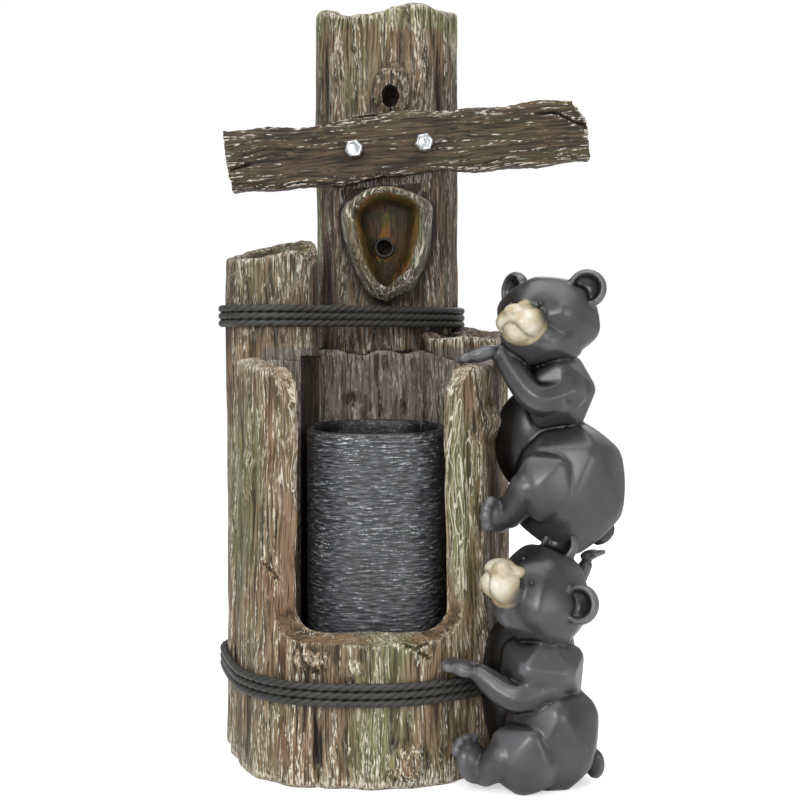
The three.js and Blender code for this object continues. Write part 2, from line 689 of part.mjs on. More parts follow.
// Head with its jaw, muzzle, nose and two dished ears, in the cub's frame
function headSolid(head) {
  const frame = facing(head.forward, head.up);
  const place = (geometry) => solidOf(geometry.applyMatrix4(frame).translate(...head.centre));
  const parts = [
    place(mass([0, 0, 0], [53, 57, 48], 2)),
    place(mass([10, 0, -16], [46, 48, 34], 1)),
    place(mass([49, 0, -5], [31, 31, 23], 1)),
    place(mass([66, 0, 4], [13, 16, 13], 0)),
  ];
  const ear = [[0, -11], [16, -9], [22, 0], [17, 8], [12, 6], [0, -2]];
  const profile = ear.map(([radius, rise]) => new THREE.Vector2(radius, rise));
  for (const side of [-1, 1]) {
    const turn = facing(head.earFacing[side > 0 ? 1 : 0], [0, 0.35 * side, 1]);
    const geometry = new THREE.LatheGeometry(profile, 8).rotateZ(-90 * DEGREE);
    const [back, spread, rise] = head.ears;
    parts.push(place(geometry.applyMatrix4(turn).translate(back, spread * side, rise)));
  }
  return join(parts);
}

// Paw pressed flat, with four blunt toes along its front edge
function pawSolid(paw) {
  const frame = facing(paw.forward, paw.up);
  const [length, width, height] = paw.size;
  const geometry = new THREE.SphereGeometry(1, paw.toes ? 14 : 8, 5);
  reshape(geometry, (x, up, across) => {
    const toe = x > 0.2 ? 1 + 0.2 * Math.cos(2 * Math.PI * (across / 0.5 + 0.5)) * (1 - up * up) : 1;
    const reach = paw.toes ? toe : 1;
    return [x * length * reach, across * width * (1 + 0.25 * Math.max(0, x)), -up * height];
  });
  return solidOf(geometry.applyMatrix4(frame).translate(...paw.centre));
}

function mirrored([x, y, z]) {
  return [x, -y, z];
}

// Whole cub from its pose, in its own frame
function cubSolid(pose) {
  const parts = [
    solidOf(mass(pose.belly, pose.bellySize, 2)),
    solidOf(mass(pose.chest, pose.chestSize, 1)),
    solidOf(mass(pose.front, pose.frontSize, 0)),
    headSolid(pose.head),
    solidOf(mass(pose.tail, [12, 7, 17], 0, facing(pose.tailForward, [0, 0, 1]))),
  ];
  for (const arm of pose.arms) {
    parts.push(solidOf(limb(arm.joints, arm.radii)));
    parts.push(pawSolid(arm.paw));
  }
  for (const leg of pose.legs) {
    parts.push(solidOf(mass(leg.thigh, leg.thighSize, 1, facing(leg.thighForward, [0, 0, 1]))));
    parts.push(solidOf(limb([leg.knee, leg.ankle], [22, 15])));
    parts.push(pawSolid(leg.paw));
  }
  return join(parts);
}

function otherArm(arm) {
  const paw = { ...arm.paw, centre: mirrored(arm.paw.centre), forward: mirrored(arm.paw.forward),
    up: mirrored(arm.paw.up), toes: false };
  return { ...arm, joints: arm.joints.map(mirrored), paw };
}

function otherLeg(leg) {
  const paw = { ...leg.paw, centre: mirrored(leg.paw.centre), forward: mirrored(leg.paw.forward),
    up: mirrored(leg.paw.up), toes: false };
  return { ...leg, thigh: mirrored(leg.thigh), thighForward: mirrored(leg.thighForward),
    knee: mirrored(leg.knee), ankle: mirrored(leg.ankle), paw };
}

const upperArm = {
  joints: [[-84, 24, -34], [-52, 43, -40], [-13, 32, 6]],
  radii: [23, 18, 12],
  paw: {
    centre: [8, 40, 7], forward: [1, 0.35, -0.25], up: [0.2, 0, 1], size: [25, 16, 9], toes: true,
  },
};

const upperLeg = {
  thigh: [-66, 45, -138],
  thighSize: [36, 24, 38],
  thighForward: [1, 0.2, 0.3],
  knee: [-46, 50, -142],
  ankle: [-24, 42, -172],
  paw: {
    centre: [-13, 46, -172], forward: [0.5, 0.86, 0.2], up: [-1, 0.5, 0], size: [26, 20, 12], toes: true,
  },
};

const upperPose = {
  belly: [-82, 0, -141],
  bellySize: [63, 57, 73],
  chest: [-69, 4, -36],
  chestSize: [40, 44, 42],
  front: [-38, -6, -92],
  frontSize: [45, 38, 64],
  head: {
    centre: [-60, 9, 46], forward: [0.36, 0.93, 0], up: [0, 0, 1], ears: [-5, 47, 33],
    earFacing: [[0.92, -0.38, 0.1], [0.92, 0.38, 0.1]],
  },
  tail: [-119, -12, -195],
  tailForward: [-0.7, 0, -0.7],
  arms: [upperArm, otherArm(upperArm)],
  legs: [upperLeg, otherLeg(upperLeg)],
};

const lowerArm = {
  joints: [[-90, 22, 112], [-62, 49, 104], [-28, 58, 124]],
  radii: [23, 18, 12],
  paw: {
    centre: [-10, 62, 130], forward: [1, 0.3, 0.2], up: [-0.3, 0.1, 1], size: [22, 16, 10], toes: true,
  },
};

const raisedArm = {
  joints: [[-80, -30, 130], [-59, -77, 170], [-89, -77, 229]],
  radii: [20, 14, 8],
  paw: {
    centre: [-95, -76, 242], forward: [-1, 0.1, 0.25], up: [0.3, 0, 1], size: [15, 14, 7], toes: true,
  },
};

const lowerLeg = {
  thigh: [-74, 45, 38],
  thighSize: [40, 26, 38],
  thighForward: [1, 0.3, 0.1],
  knee: [-56, 56, 38],
  ankle: [-36, 62, 20],
  paw: {
    centre: [-22, 66, 30], forward: [0.35, 0.2, 0.9], up: [-1, 0.4, 0.1], size: [30, 19, 13], toes: true,
  },
};

const lowerPose = {
  belly: [-84, 2, 54],
  bellySize: [52, 52, 62],
  chest: [-75, 6, 124],
  chestSize: [44, 44, 42],
  front: [-38, -4, 100],
  frontSize: [45, 38, 88],
  head: {
    centre: [-72, -2, 205], forward: [0.37, 0.84, 0.42], up: [-0.72, 0.06, 0.69], ears: [-3, 42, 40],
    earFacing: [[0.92, 0.2, 0.3], [0.92, 0.38, 0.1]],
  },
  tail: [-124, -26, 21],
  tailForward: [-1, 0, 0],
  arms: [lowerArm, raisedArm],
  legs: [lowerLeg, otherLeg(lowerLeg)],
};

// Sets a cub against the stump at an angle round it, with its frame's origin at the height
function cling(solid, degrees, height) {
  const angle = degrees * DEGREE;
  const out = new THREE.Vector3(Math.cos(angle), Math.sin(angle), 0);
  const scale = CUB_HEIGHT / 300;
  const forward = out.clone().negate();
  const left = new THREE.Vector3(0, 0, 1).cross(forward);
  const place = new THREE.Matrix4().makeBasis(forward, left, new THREE.Vector3(0, 0, 1));
  place.scale(new THREE.Vector3(scale, scale, scale));
  place.setPosition(out.multiplyScalar(STUMP_RADIUS).setZ(height));
  return solid.transform(place.elements);
}

const stumpAndLogs = [stump, leftLog, rightLog, trunk];
const tallLogs = [leftLog, trunk];

const grownBody = logBodySolid(FIT_GAP);
const grownLowerRope = ropeSolid(stumpAndLogs, LOWER_ROPE_Z, FIT_GAP);
const groundReach = 4 * STUMP_RADIUS;
const underground = box([-groundReach, -groundReach, -200], [groundReach, groundReach, 0]);

const lowerCub = cling(cubSolid(lowerPose), LOWER_CUB_ANGLE, 0)
  .subtract(grownBody)
  .subtract(grownLowerRope)
  .subtract(underground);

// The lower cub's ear and raised paw bed into the upper cub, with a gap all round them
let upperCub = cling(cubSolid(upperPose), UPPER_CUB_ANGLE, STUMP_HEIGHT - UPPER_CUB_BELOW_RIM)
  .subtract(grownBody);
for (const shift of [[0, 0, 1], [1, 0, 0], [-1, 0, 0], [0, 1, 0], [0, -1, 0]]) {
  upperCub = upperCub.subtract(lowerCub.translate(shift.map((value) => value * 2 * FIT_GAP)));
}

let board = boardSolid();
for (const side of [-1, 1]) board = board.subtract(boltHole(side, FIT_GAP));

const barkBrown = { color: 0x5b4636, roughness: 0.85, metalness: 0 };
const boardBrown = { color: 0x64503f, roughness: 0.85, metalness: 0 };
const slateGrey = { color: 0x3a3d40, roughness: 0.55, metalness: 0 };
const ropeGrey = { color: 0x35383b, roughness: 0.7, metalness: 0 };
const cubCharcoal = { color: 0x3d3e40, roughness: 0.5, metalness: 0 };
const boltSteel = { color: 0xb9bcbf, roughness: 0.35, metalness: 0.9 };
const hoseBlack = { color: 0x141414, roughness: 0.6, metalness: 0 };

const fountain = new THREE.Group();

function addPiece(name, solid, finish) {
  const mesh = solid.getMesh();
  const geometry = new THREE.BufferGeometry();
  geometry.setAttribute("position", new THREE.Float32BufferAttribute(mesh.vertProperties, 3));
  geometry.setIndex(new THREE.Uint32BufferAttribute(mesh.triVerts, 1));
  geometry.computeVertexNormals();
  const piece = new THREE.Mesh(geometry, new THREE.MeshStandardMaterial(finish));
  piece.name = name;
  fountain.add(piece);
}

addPiece("log_body", logBodySolid(), barkBrown);
addPiece("cascade_vessel", vesselSolid(), slateGrey);
addPiece("crossboard", board, boardBrown);
addPiece("bolt_left", boltSolid(-1), boltSteel);
addPiece("bolt_right", boltSolid(1), boltSteel);
addPiece("upper_rope", ropeSolid(tallLogs, upperRopeZ), ropeGrey);
addPiece("lower_rope", ropeSolid(stumpAndLogs, LOWER_ROPE_Z), ropeGrey);
addPiece("upper_cub", upperCub, cubCharcoal);
addPiece("lower_cub", lowerCub, cubCharcoal);
addPiece("outlet_tube", outletSolid(), hoseBlack);

export default fountain;
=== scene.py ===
# Looks of the bear garden fountain: carved wood grain, paint, moss, ropes and the two cubs.
# Shapes are worked out in millimetres in the fountain's own frame and stored in metres.
import math
import bmesh
import bpy
import numpy as np
from mathutils import Matrix, Vector, noise
from mathutils.bvhtree import BVHTree


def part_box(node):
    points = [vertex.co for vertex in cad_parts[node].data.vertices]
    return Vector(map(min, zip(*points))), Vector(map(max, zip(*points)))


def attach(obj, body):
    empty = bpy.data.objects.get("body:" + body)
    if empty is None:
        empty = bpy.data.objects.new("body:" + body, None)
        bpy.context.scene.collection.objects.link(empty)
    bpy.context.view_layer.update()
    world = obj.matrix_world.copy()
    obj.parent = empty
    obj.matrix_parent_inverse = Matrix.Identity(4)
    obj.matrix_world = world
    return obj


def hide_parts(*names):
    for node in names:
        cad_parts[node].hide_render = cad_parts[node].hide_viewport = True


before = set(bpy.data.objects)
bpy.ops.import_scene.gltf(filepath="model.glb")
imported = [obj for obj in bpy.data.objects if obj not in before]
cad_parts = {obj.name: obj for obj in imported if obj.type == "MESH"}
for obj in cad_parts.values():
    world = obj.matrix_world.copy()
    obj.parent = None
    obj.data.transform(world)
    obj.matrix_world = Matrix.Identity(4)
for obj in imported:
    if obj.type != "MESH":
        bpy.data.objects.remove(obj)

# Vector noise starts from a set seed, so that each run gives the same knothole
noise.seed_set(1)

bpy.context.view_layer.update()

MM = 0.001
DEGREE = math.pi / 180


def node_box(name):
    """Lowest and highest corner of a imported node, in millimetres."""
    low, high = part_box(name)
    return Vector(low) / MM, Vector(high) / MM


def node_centre(name):
    """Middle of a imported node, in millimetres."""
    low, high = node_box(name)
    return (low + high) / 2


# Small mesh helpers

def bump(distance):
    """1 at the centre of a bump, falling smoothly to 0 at its edge."""
    return (1 - distance * distance) ** 2 if abs(distance) < 1 else 0.0


def ease(value, low, high):
    """0 below low, 1 above high and smooth in between."""
    share = min(1.0, max(0.0, (value - low) / (high - low)))
    return share * share * (3 - 2 * share)


def squareness(angle, exponent):
    """How far a rounded square with sides at 1 reaches at an angle."""
    across = abs(math.cos(angle)) ** exponent
    along = abs(math.sin(angle)) ** exponent
    return (across + along) ** (-1 / exponent)


def squareness_all(angles, exponent):
    """The same for an array of angles."""
    return (np.abs(np.cos(angles)) ** exponent + np.abs(np.sin(angles)) ** exponent) ** (-1 / exponent)


def polar(spot):
    """Distance of a place from the axis, and its angle round it."""
    share = math.hypot(spot.x, spot.y)
    return share, math.atan2(spot.y, spot.x) if share > 1e-6 else 0.0


def turn_difference(a, b):
    """Smallest angle between two directions."""
    return math.atan2(math.sin(a - b), math.cos(a - b))


def stretched(x, y, z, wide, high, seed):
    """Noise from -1 to 1 whose blotches are wide across and high along Z."""
    return noise.noise(Vector((x / wide + seed, y / wide - seed, z / high + 0.37 * seed)))


def spun(profile, steps):
    """Closed shape turned from a profile of (radius, height) that starts and ends on the axis."""
    mesh = bmesh.new()
    chain = [mesh.verts.new((radius, 0, height)) for radius, height in profile]
    edges = [mesh.edges.new(pair) for pair in zip(chain, chain[1:])]
    bmesh.ops.spin(
        mesh, geom=chain + edges, cent=(0, 0, 0), axis=(0, 0, 1), dvec=(0, 0, 0),
        angle=2 * math.pi, steps=steps, use_merge=True,
    )
    bmesh.ops.remove_doubles(mesh, verts=mesh.verts, dist=1e-5)
    bmesh.ops.recalc_face_normals(mesh, faces=mesh.faces)
    return mesh


def reshape(mesh, place):
    """Moves every vertex to the place that a function gives for it."""
    for vert in mesh.verts:
        vert.co = place(vert.co)
    return mesh


def ball(centre, radii, frame_matrix=None, fineness=4):
    mesh = bmesh.new()
    bmesh.ops.create_icosphere(mesh, subdivisions=fineness, radius=1)
    bmesh.ops.scale(mesh, verts=mesh.verts, vec=radii)
    if frame_matrix:
        bmesh.ops.transform(mesh, verts=mesh.verts, matrix=frame_matrix)
    bmesh.ops.translate(mesh, verts=mesh.verts, vec=centre)
    return mesh


def add_mesh(target, part):
    """Adds one bmesh to another and frees it."""
    keep = bpy.data.meshes.new("passing")
    part.to_mesh(keep)
    part.free()
    target.from_mesh(keep)
    bpy.data.meshes.remove(keep)


def piece_object(name, mesh, unit=MM):
    """Object at the origin with the bmesh as its own mesh, scaled from millimetres."""
    bmesh.ops.scale(mesh, verts=mesh.verts, vec=(unit, unit, unit))
    bmesh.ops.recalc_face_normals(mesh, faces=mesh.faces)
    data = bpy.data.meshes.new(name)
    mesh.to_mesh(data)
    mesh.free()
    piece = bpy.data.objects.new(name, data)
    bpy.context.scene.collection.objects.link(piece)
    return piece


def apply_modifiers(piece):
    """Turns the piece with its modifiers into a plain mesh."""
    graph = bpy.context.evaluated_depsgraph_get()
    done = bpy.data.meshes.new_from_object(piece.evaluated_get(graph))
    old = piece.data
    piece.modifiers.clear()
    piece.data = done
    bpy.data.meshes.remove(old)
    return piece


def combine(piece, tool, operation):
    """Joins or cuts the piece by another object, which is then removed."""
    change = piece.modifiers.new("combine", "BOOLEAN")
    change.operation = operation
    change.solver = "MANIFOLD"
    change.object = tool
    apply_modifiers(piece)
    data = tool.data
    bpy.data.objects.remove(tool)
    bpy.data.meshes.remove(data)
    return piece


def shade_smooth(piece, sharp_angle=None):
    """Smooth shading, with edges over the sharp angle in degrees left sharp."""
    piece.data.shade_smooth()
    if sharp_angle:
        piece.data.set_sharp_from_angle(angle=sharp_angle * DEGREE)
    return piece


def positions(piece):
    """Places of a finished piece's vertices, in millimetres."""
    places = np.empty(len(piece.data.vertices) * 3, dtype=np.float32)
    piece.data.vertices.foreach_get("co", places)
    return places.reshape(-1, 3).astype(float) / MM


def normals(piece):
    directions = np.empty(len(piece.data.vertices) * 3, dtype=np.float32)
    piece.data.vertices.foreach_get("normal", directions)
    return directions.reshape(-1, 3).astype(float)


def smoothed(piece, places, rounds):
    """Vertex places after averaging each with its neighbours a number of times."""
    pairs = np.empty(len(piece.data.edges) * 2, dtype=np.int32)
    piece.data.edges.foreach_get("vertices", pairs)
    a, b = pairs.reshape(-1, 2).T
    count = len(places)
    share = np.maximum(np.bincount(a, minlength=count) + np.bincount(b, minlength=count), 1)
    for _ in range(rounds):
        total = [np.bincount(a, places[b, k], count) + np.bincount(b, places[a, k], count)
                 for k in range(3)]
        places = 0.4 * places + 0.6 * np.stack(total, axis=1) / share[:, None]
    return places


def paint(piece, name, values):
    """Stores one value for each vertex for the material to read."""
    layer = piece.data.attributes.new(name, "FLOAT", "POINT")
    layer.data.foreach_set("value", np.clip(values, -2, 2).astype(np.float32))


def paint_relief(piece, fine_rounds=4, broad_rounds=40, fine_size=0.5, broad_size=3.0):
    """Marks what stands proud of its surroundings (positive) or lies back (negative)."""
    places = positions(piece)
    out = normals(piece)
    near = smoothed(piece, places, fine_rounds)
    far = smoothed(piece, near, broad_rounds)
    paint(piece, "proud", np.sum((places - near) * out, axis=1) / fine_size)
    paint(piece, "bulk", np.sum((near - far) * out, axis=1) / broad_size)


# Shader node helpers

def socket(group, name, way, kind="NodeSocketFloat", value=None):
    made = group.interface.new_socket(name=name, in_out=way, socket_type=kind)
    if value is not None:
        made.default_value = value


class Graph:
    """Short calls for building one node tree."""

    def __init__(self, tree):
        self.tree = tree

    def node(self, kind, inputs=None, **settings):
        prefix = "NodeGroup" if kind in ("Input", "Output") else "ShaderNode"
        made = self.tree.nodes.new(prefix + kind)
        for name, value in settings.items():
            setattr(made, name, value)
        for key, value in (inputs or {}).items():
            self.feed(made.inputs[key], value)
        return made

    def feed(self, target, value):
        if isinstance(value, bpy.types.NodeSocket):
            self.tree.links.new(value, target)
        else:
            target.default_value = value

    def math(self, operation, a, b=0.0, clamp=False):
        made = self.node("Math", {0: a, 1: b}, operation=operation, use_clamp=clamp)
        return made.outputs[0]

    def span(self, value, low, high, to_low=0.0, to_high=1.0):
        """The value taken smoothly from one range to another."""
        inputs = {"Value": value, "From Min": low, "From Max": high, "To Min": to_low, "To Max": to_high}
        return self.node("MapRange", inputs, interpolation_type="SMOOTHSTEP").outputs[0]

    def mix(self, share, a, b):
        """Colour a where the share is 0 and colour b where it is 1."""
        made = self.node("Mix", data_type="RGBA", blend_type="MIX", clamp_factor=True)
        self.feed(made.inputs[0], share)
        self.feed(made.inputs[6], a)
        self.feed(made.inputs[7], b)
        return made.outputs[2]

    def attribute(self, name):
        return self.node("Attribute", attribute_name=name).outputs["Fac"]

    def place(self):
        return self.node("TexCoord").outputs["Object"]

    def scaled(self, vector, scale, shift=(0, 0, 0)):
        made = self.node("Mapping", {"Vector": vector, "Scale": scale, "Location": shift})
        return made.outputs[0]

    def noise(self, vector, scale, detail=3.0, rough=0.55, distort=0.0):
        inputs = {"Vector": vector, "Scale": scale, "Detail": detail, "Roughness": rough,
                  "Distortion": distort}
        return self.node("TexNoise", inputs).outputs["Fac"]

    def ridge(self, value, power):
        """Thin bright lines where a noise value crosses its middle."""
        away = self.math("ABSOLUTE", self.math("SUBTRACT", value, 0.5))
        line = self.math("SUBTRACT", 1.0, self.math("MULTIPLY", away, 2.0))
        return self.math("POWER", line, power)


def grain_group():
    """Wood grain that runs along Z: streaks, hair lines, pale threads, wavy lines and blotches."""
    group = bpy.data.node_groups.new("Wood grain", "ShaderNodeTree")
    socket(group, "Place", "INPUT", "NodeSocketVector")
    socket(group, "Width", "INPUT", value=180.0)
    socket(group, "Wave", "INPUT", value=0.6)
    for name in ("Streaks", "Hairs", "Threads", "Lines", "Blotches"):
        socket(group, name, "OUTPUT")
    g = Graph(group)
    inside = g.node("Input").outputs
    bend = g.node("TexNoise", {"Vector": g.scaled(inside["Place"], (1, 1, 0.45)), "Scale": 14.0,
                               "Detail": 2.0}).outputs["Color"]
    centred = g.node("VectorMath", {0: bend, 1: (0.5, 0.5, 0.5)}, operation="SUBTRACT").outputs[0]
    amount = g.math("MULTIPLY", inside["Wave"], 0.05)
    shift = g.node("VectorMath", {0: centred, "Scale": amount}, operation="SCALE").outputs[0]
    bent = g.node("VectorMath", {0: inside["Place"], 1: shift}, operation="ADD").outputs[0]
    tall = g.scaled(bent, (1, 1, 0.06))
    taller = g.scaled(bent, (1, 1, 0.02), (0.3, 0.1, 0))
    threads_place = g.scaled(bent, (1, 1, 0.05), (0.9, 0.6, 0))
    wavy = g.scaled(bent, (1, 1, 0.2), (0.7, 0.2, 0.4))
    streaks = g.noise(tall, inside["Width"], 3.0, 0.6)
    hairs = g.noise(taller, g.math("MULTIPLY", inside["Width"], 2.4), 2.0, 0.6)
    threads = g.ridge(g.noise(threads_place, g.math("MULTIPLY", inside["Width"], 1.1), 2.0, 0.6), 12.0)
    lines = g.ridge(g.noise(wavy, g.math("MULTIPLY", inside["Width"], 0.4), 2.0, 0.5, 0.6), 9.0)
    blotches = g.noise(g.scaled(inside["Place"], (1, 1, 0.4)), 22.0, 3.0, 0.6)
    out = g.node("Output")
    values = (("Streaks", streaks), ("Hairs", hairs), ("Threads", threads), ("Lines", lines),
              ("Blotches", blotches))
    for name, value in values:
        g.feed(out.inputs[name], value)
    return group


def drybrush_group():
    """Share of pale paint caught by what stands proud, broken up by the grain."""
    group = bpy.data.node_groups.new("Dry brush", "ShaderNodeTree")
    socket(group, "Proud", "INPUT", value=0.0)
    socket(group, "Grain", "INPUT", value=0.5)
    socket(group, "Reach", "INPUT", value=0.5)
    socket(group, "Soft", "INPUT", value=0.25)
    socket(group, "Share", "OUTPUT")
    g = Graph(group)
    inside = g.node("Input").outputs
    mixed = g.math("ADD", g.math("MULTIPLY", inside["Proud"], 0.5), inside["Grain"])
    share = g.span(mixed, inside["Reach"], g.math("ADD", inside["Reach"], inside["Soft"]))
    g.feed(g.node("Output").inputs["Share"], share)
    return group


WOOD_GRAIN = grain_group()
DRY_BRUSH = drybrush_group()


def use_group(g, group, **inputs):
    made = g.node("Group", node_tree=group)
    for name, value in inputs.items():
        g.feed(made.inputs[name], value)
    return made.outputs


def new_material(name, roughness=0.6, metallic=0.0, specular=0.4):
    material = bpy.data.materials.new(name)
    material.use_nodes = True
    g = Graph(material.node_tree)
    shader = material.node_tree.nodes["Principled BSDF"]
    shader.inputs["Roughness"].default_value = roughness
    shader.inputs["Metallic"].default_value = metallic
    shader.inputs["Specular IOR Level"].default_value = specular
    return material, g, shader


def rough_bump(g, shader, height, strength, distance):
    """Relief too fine for the mesh."""
    made = g.node("Bump", {"Strength": strength, "Distance": distance, "Height": height})
    g.feed(shader.inputs["Normal"], made.outputs[0])


def wood_bump(g, shader, grain, strength):
    """Fine relief of carved wood, mostly from its hairs."""
    height = g.math("ADD", g.math("MULTIPLY", grain["Hairs"], 0.6), g.math("MULTIPLY", grain["Streaks"], 0.4))
    rough_bump(g, shader, height, strength, 0.0016)


def wood_edge(g, grain, proud, bulk, bulk_share):
    """High where carved wood stands proud or lies in a pale blotch, so that dry paint catches."""
    edge = g.math("ADD", g.math("MULTIPLY", proud, 0.3), g.math("MULTIPLY", bulk, bulk_share))
    return g.math("ADD", edge, g.math("MULTIPLY", grain["Blotches"], 0.75))


def colour(red, green, blue):
    """Paint colour from its 0 to 255 shades."""
    def linear(value):
        share = value / 255
        return share / 12.92 if share <= 0.04045 else ((share + 0.055) / 1.055) ** 2.4
    return (linear(red), linear(green), linear(blue), 1.0)


# The logs: the same sections, lobes, knots and rims as the solid, with a finer grain

STUMP_HEIGHT = 462
RIM_SLOPE = 8
TRUNK_HEIGHT = 897
LEFT_LOG_HEIGHT = 592
RIGHT_LOG_HEIGHT = 493
TRUNK_RADIUS = 88
LOBE_TWIST = 170
RIM_SHARE = 0.84
BASE_ROUND = 5
STUMP_WALL = 30
BASIN_FLOOR = 45
BASIN_BACK_WALL = 12
LOG_WALL = 4
WINDOW_LEFT = 74
WINDOW_RIGHT = 87
WINDOW_SILL = 165
WINDOW_CORNER = 28
WINDOW_FLARE = 42
WINDOW_TOP_WEAR = 20
WINDOW_TOP_DROP = 30

STUMP = dict(
    x=0, y=0, base=156, top=148, deep=1, square=2.35, height=STUMP_HEIGHT, dish=0,
    lobes=((3, 0.6, 1.6), (7, 1.9, 1.7), (13, 0.4, 1.5), (22, 2.2, 1.2)),
    knots=((-74, 30, 10, 25, 8), (-111, 141, 10, 13, 6), (-23, 392, 16, 26, 8), (-152, 330, 16, 40, 6),
           (-127, 232, 9, 40, -6), (-109, 34, 4, 60, -6), (-94, 134, 5, 12, 3)),
    rim=lambda a: (STUMP_HEIGHT + RIM_SLOPE * math.sin(a) + 2.5 * math.cos(5 * a + 1)
                   + 2 * math.cos(9 * a)),
    sides=300, rings=138, grain=1.0, seed=3.1,
)
TRUNK = dict(
    x=20, y=160, base=90, top=87, deep=156 / 176, square=2.1, height=TRUNK_HEIGHT, dish=26,
    lobes=((4, 0.3, 1.5), (9, 1.1, 1.6), (14, 2.0, 1.3)),
    knots=((-38, 800, 9, 130, -5), (-144, 640, 10, 60, 4), (-150, 800, 9, 80, -3)),
    rim=lambda a: (TRUNK_HEIGHT + 2.5 * math.cos(7 * a + 1)
                   - 16 * bump(turn_difference(a, -112 * DEGREE) / 0.65)
                   - 6 * bump(turn_difference(a, 100 * DEGREE) / 0.9)),
    sides=170, rings=190, grain=0.8, seed=11.7,
)
LEFT_LOG = dict(
    x=-115, y=38, base=55, top=52, deep=1, square=2.2, height=LEFT_LOG_HEIGHT, dish=20,
    lobes=((3, 2.1, 1.4), (8, 0.5, 1.4)),
    knots=((-120, 540, 16, 30, -3), (-60, 380, 18, 50, 3)),
    rim=lambda a: (LEFT_LOG_HEIGHT + 13 * math.sin(a + 0.8)
                   - 22 * bump(turn_difference(a, -20 * DEGREE) / 0.7)),
    sides=110, rings=140, grain=0.8, seed=23.9,
)
RIGHT_LOG = dict(
    x=118, y=97, base=55, top=52, deep=1, square=2.2, height=RIGHT_LOG_HEIGHT, dish=10,
    lobes=((3, 0.8, 1.4), (8, 2.5, 1.4)),
    knots=((20, 260, 20, 60, 4),),
    rim=lambda a: RIGHT_LOG_HEIGHT + 6 * math.sin(a) + 2 * math.cos(4 * a),
    sides=100, rings=100, grain=0.8, seed=37.3,
)
LOGS = (STUMP, TRUNK, LEFT_LOG, RIGHT_LOG)
TRUNK_FRONT = TRUNK["y"] - TRUNK["deep"] * TRUNK_RADIUS
BASIN_BACK = TRUNK_FRONT - BASIN_BACK_WALL


def log_radius(log, angle, z):
    """Radius of a log, with its lobes and knots, before the fine grain."""
    carved = 0.0
    for count, phase, depth in log["lobes"]:
        carved += depth * math.cos(count * angle + phase + 1.5 * math.sin(z / LOBE_TWIST + count))
    for degrees, height, half_angle, half_height, rise in log["knots"]:
        across = turn_difference(angle, degrees * DEGREE) / (half_angle * DEGREE)
        carved += rise * bump(math.hypot(across, (z - height) / half_height))
    taper = log["base"] + (log["top"] - log["base"]) * (z / log["height"])
    return taper * squareness(angle, log["square"]) + carved


def bark(x, y, z, seed):
    """Depth of the carved grain at a place: furrows that wander, and finer ones between."""
    wander = 5 * stretched(x, y, z, 60, 120, seed)
    broad = 1 - 2 * abs(stretched(x + wander, y, z, 22, 190, seed + 5))
    narrow = 1 - 2 * abs(stretched(x + wander, y + wander, z, 9, 150, seed + 9))
    fine = stretched(x, y, z, 4.5, 60, seed + 2)
    lump = stretched(x, y, z, 40, 60, seed + 14)
    return 1.0 * broad + 0.9 * narrow + 0.45 * fine + 1.2 * lump


# Open cracks in the front of the stump, as routes of (x, z)
CRACKS = (
    ((-112, 240), (-88, 218), (-67, 140), (-51, 127)),
    ((-53, 97), (-55, 50), (-50, 4)),
    ((38, 160), (54, 152), (70, 141)),
    ((72, 160), (62, 156), (54, 152)),
)
CRACK_DEPTH = 4
CRACK_HALF_WIDTH = 3.2


def crack_depth(x, z):
    """How deep a crack is at a place on the stump's front."""
    deepest = 0.0
    for route in CRACKS:
        for (ax, az), (bx, bz) in zip(route, route[1:]):
            along = ((x - ax) * (bx - ax) + (z - az) * (bz - az)) / ((bx - ax) ** 2 + (bz - az) ** 2)
            along = min(1, max(0, along))
            away = math.hypot(x - ax - along * (bx - ax), z - az - along * (bz - az))
            deepest = max(deepest, CRACK_DEPTH * bump(away / CRACK_HALF_WIDTH))
    return deepest


def log_mesh(log):
    """One log with its bark, its dished top and its uneven rim."""
    profile = [(0, 0), (0.5, 0), (1 - BASE_ROUND / log["base"], 0)]
    lowest = BASE_ROUND / log["height"]
    for ring in range(log["rings"]):
        profile.append((1, lowest + (1 - 2 * lowest) * ring / (log["rings"] - 1)))
    profile += [(0.985, 0.9975), (0.965, 1), (0.93, 1), (0.88, 1), (RIM_SHARE, 1)]
    profile += [(share, 1) for share in (0.76, 0.66, 0.55, 0.44, 0.33, 0.22, 0.11)] + [(0, 1)]

    def place(spot):
        share, angle = polar(spot)
        z = spot.z * log["rim"](angle)
        on_end = spot.z > 0.9999
        radius = share * log_radius(log, angle, z)
        x, y = radius * math.cos(angle), radius * math.sin(angle) * log["deep"]
        if on_end:
            hollow = 1 - (share / RIM_SHARE) ** 2 if share < RIM_SHARE else 0
            rings = 1.2 * math.cos(share * 26 + 2 * math.sin(2 * angle)) if share < RIM_SHARE else 0
            chips = 2.2 * stretched(x, y, 0, 12, 12, log["seed"])
            return Vector((log["x"] + x, log["y"] + y, z - hollow * log["dish"] + rings + chips))
        if share > 0.96:
            carved = log["grain"] * bark(x, y, z, log["seed"])
            if log is STUMP and y < -90:
                carved -= crack_depth(x, z)
            swell = 1 + carved / max(radius, 1)
            x, y = x * swell, y * swell
        return Vector((log["x"] + x, log["y"] + y, z))

    return reshape(spun(profile, log["sides"]), place)


def clearing_mesh(radius_at, low, high, centre, steps, rings):
    """Upright tool for hollowing: a drum whose radius is worked out by angle and height."""
    profile = [(0, 0), (0.5, 0), (0.9, 0)] + [(1, ring / rings) for ring in range(rings + 1)]
    profile += [(0.5, 1), (0, 1)]

    def place(spot):
        share, angle = polar(spot)
        z = low + (high - low) * spot.z
        radius = share * radius_at(angle, z)
        return Vector((centre[0] + radius * math.cos(angle), centre[1] + radius * math.sin(angle), z))

    return reshape(spun(profile, steps), place)


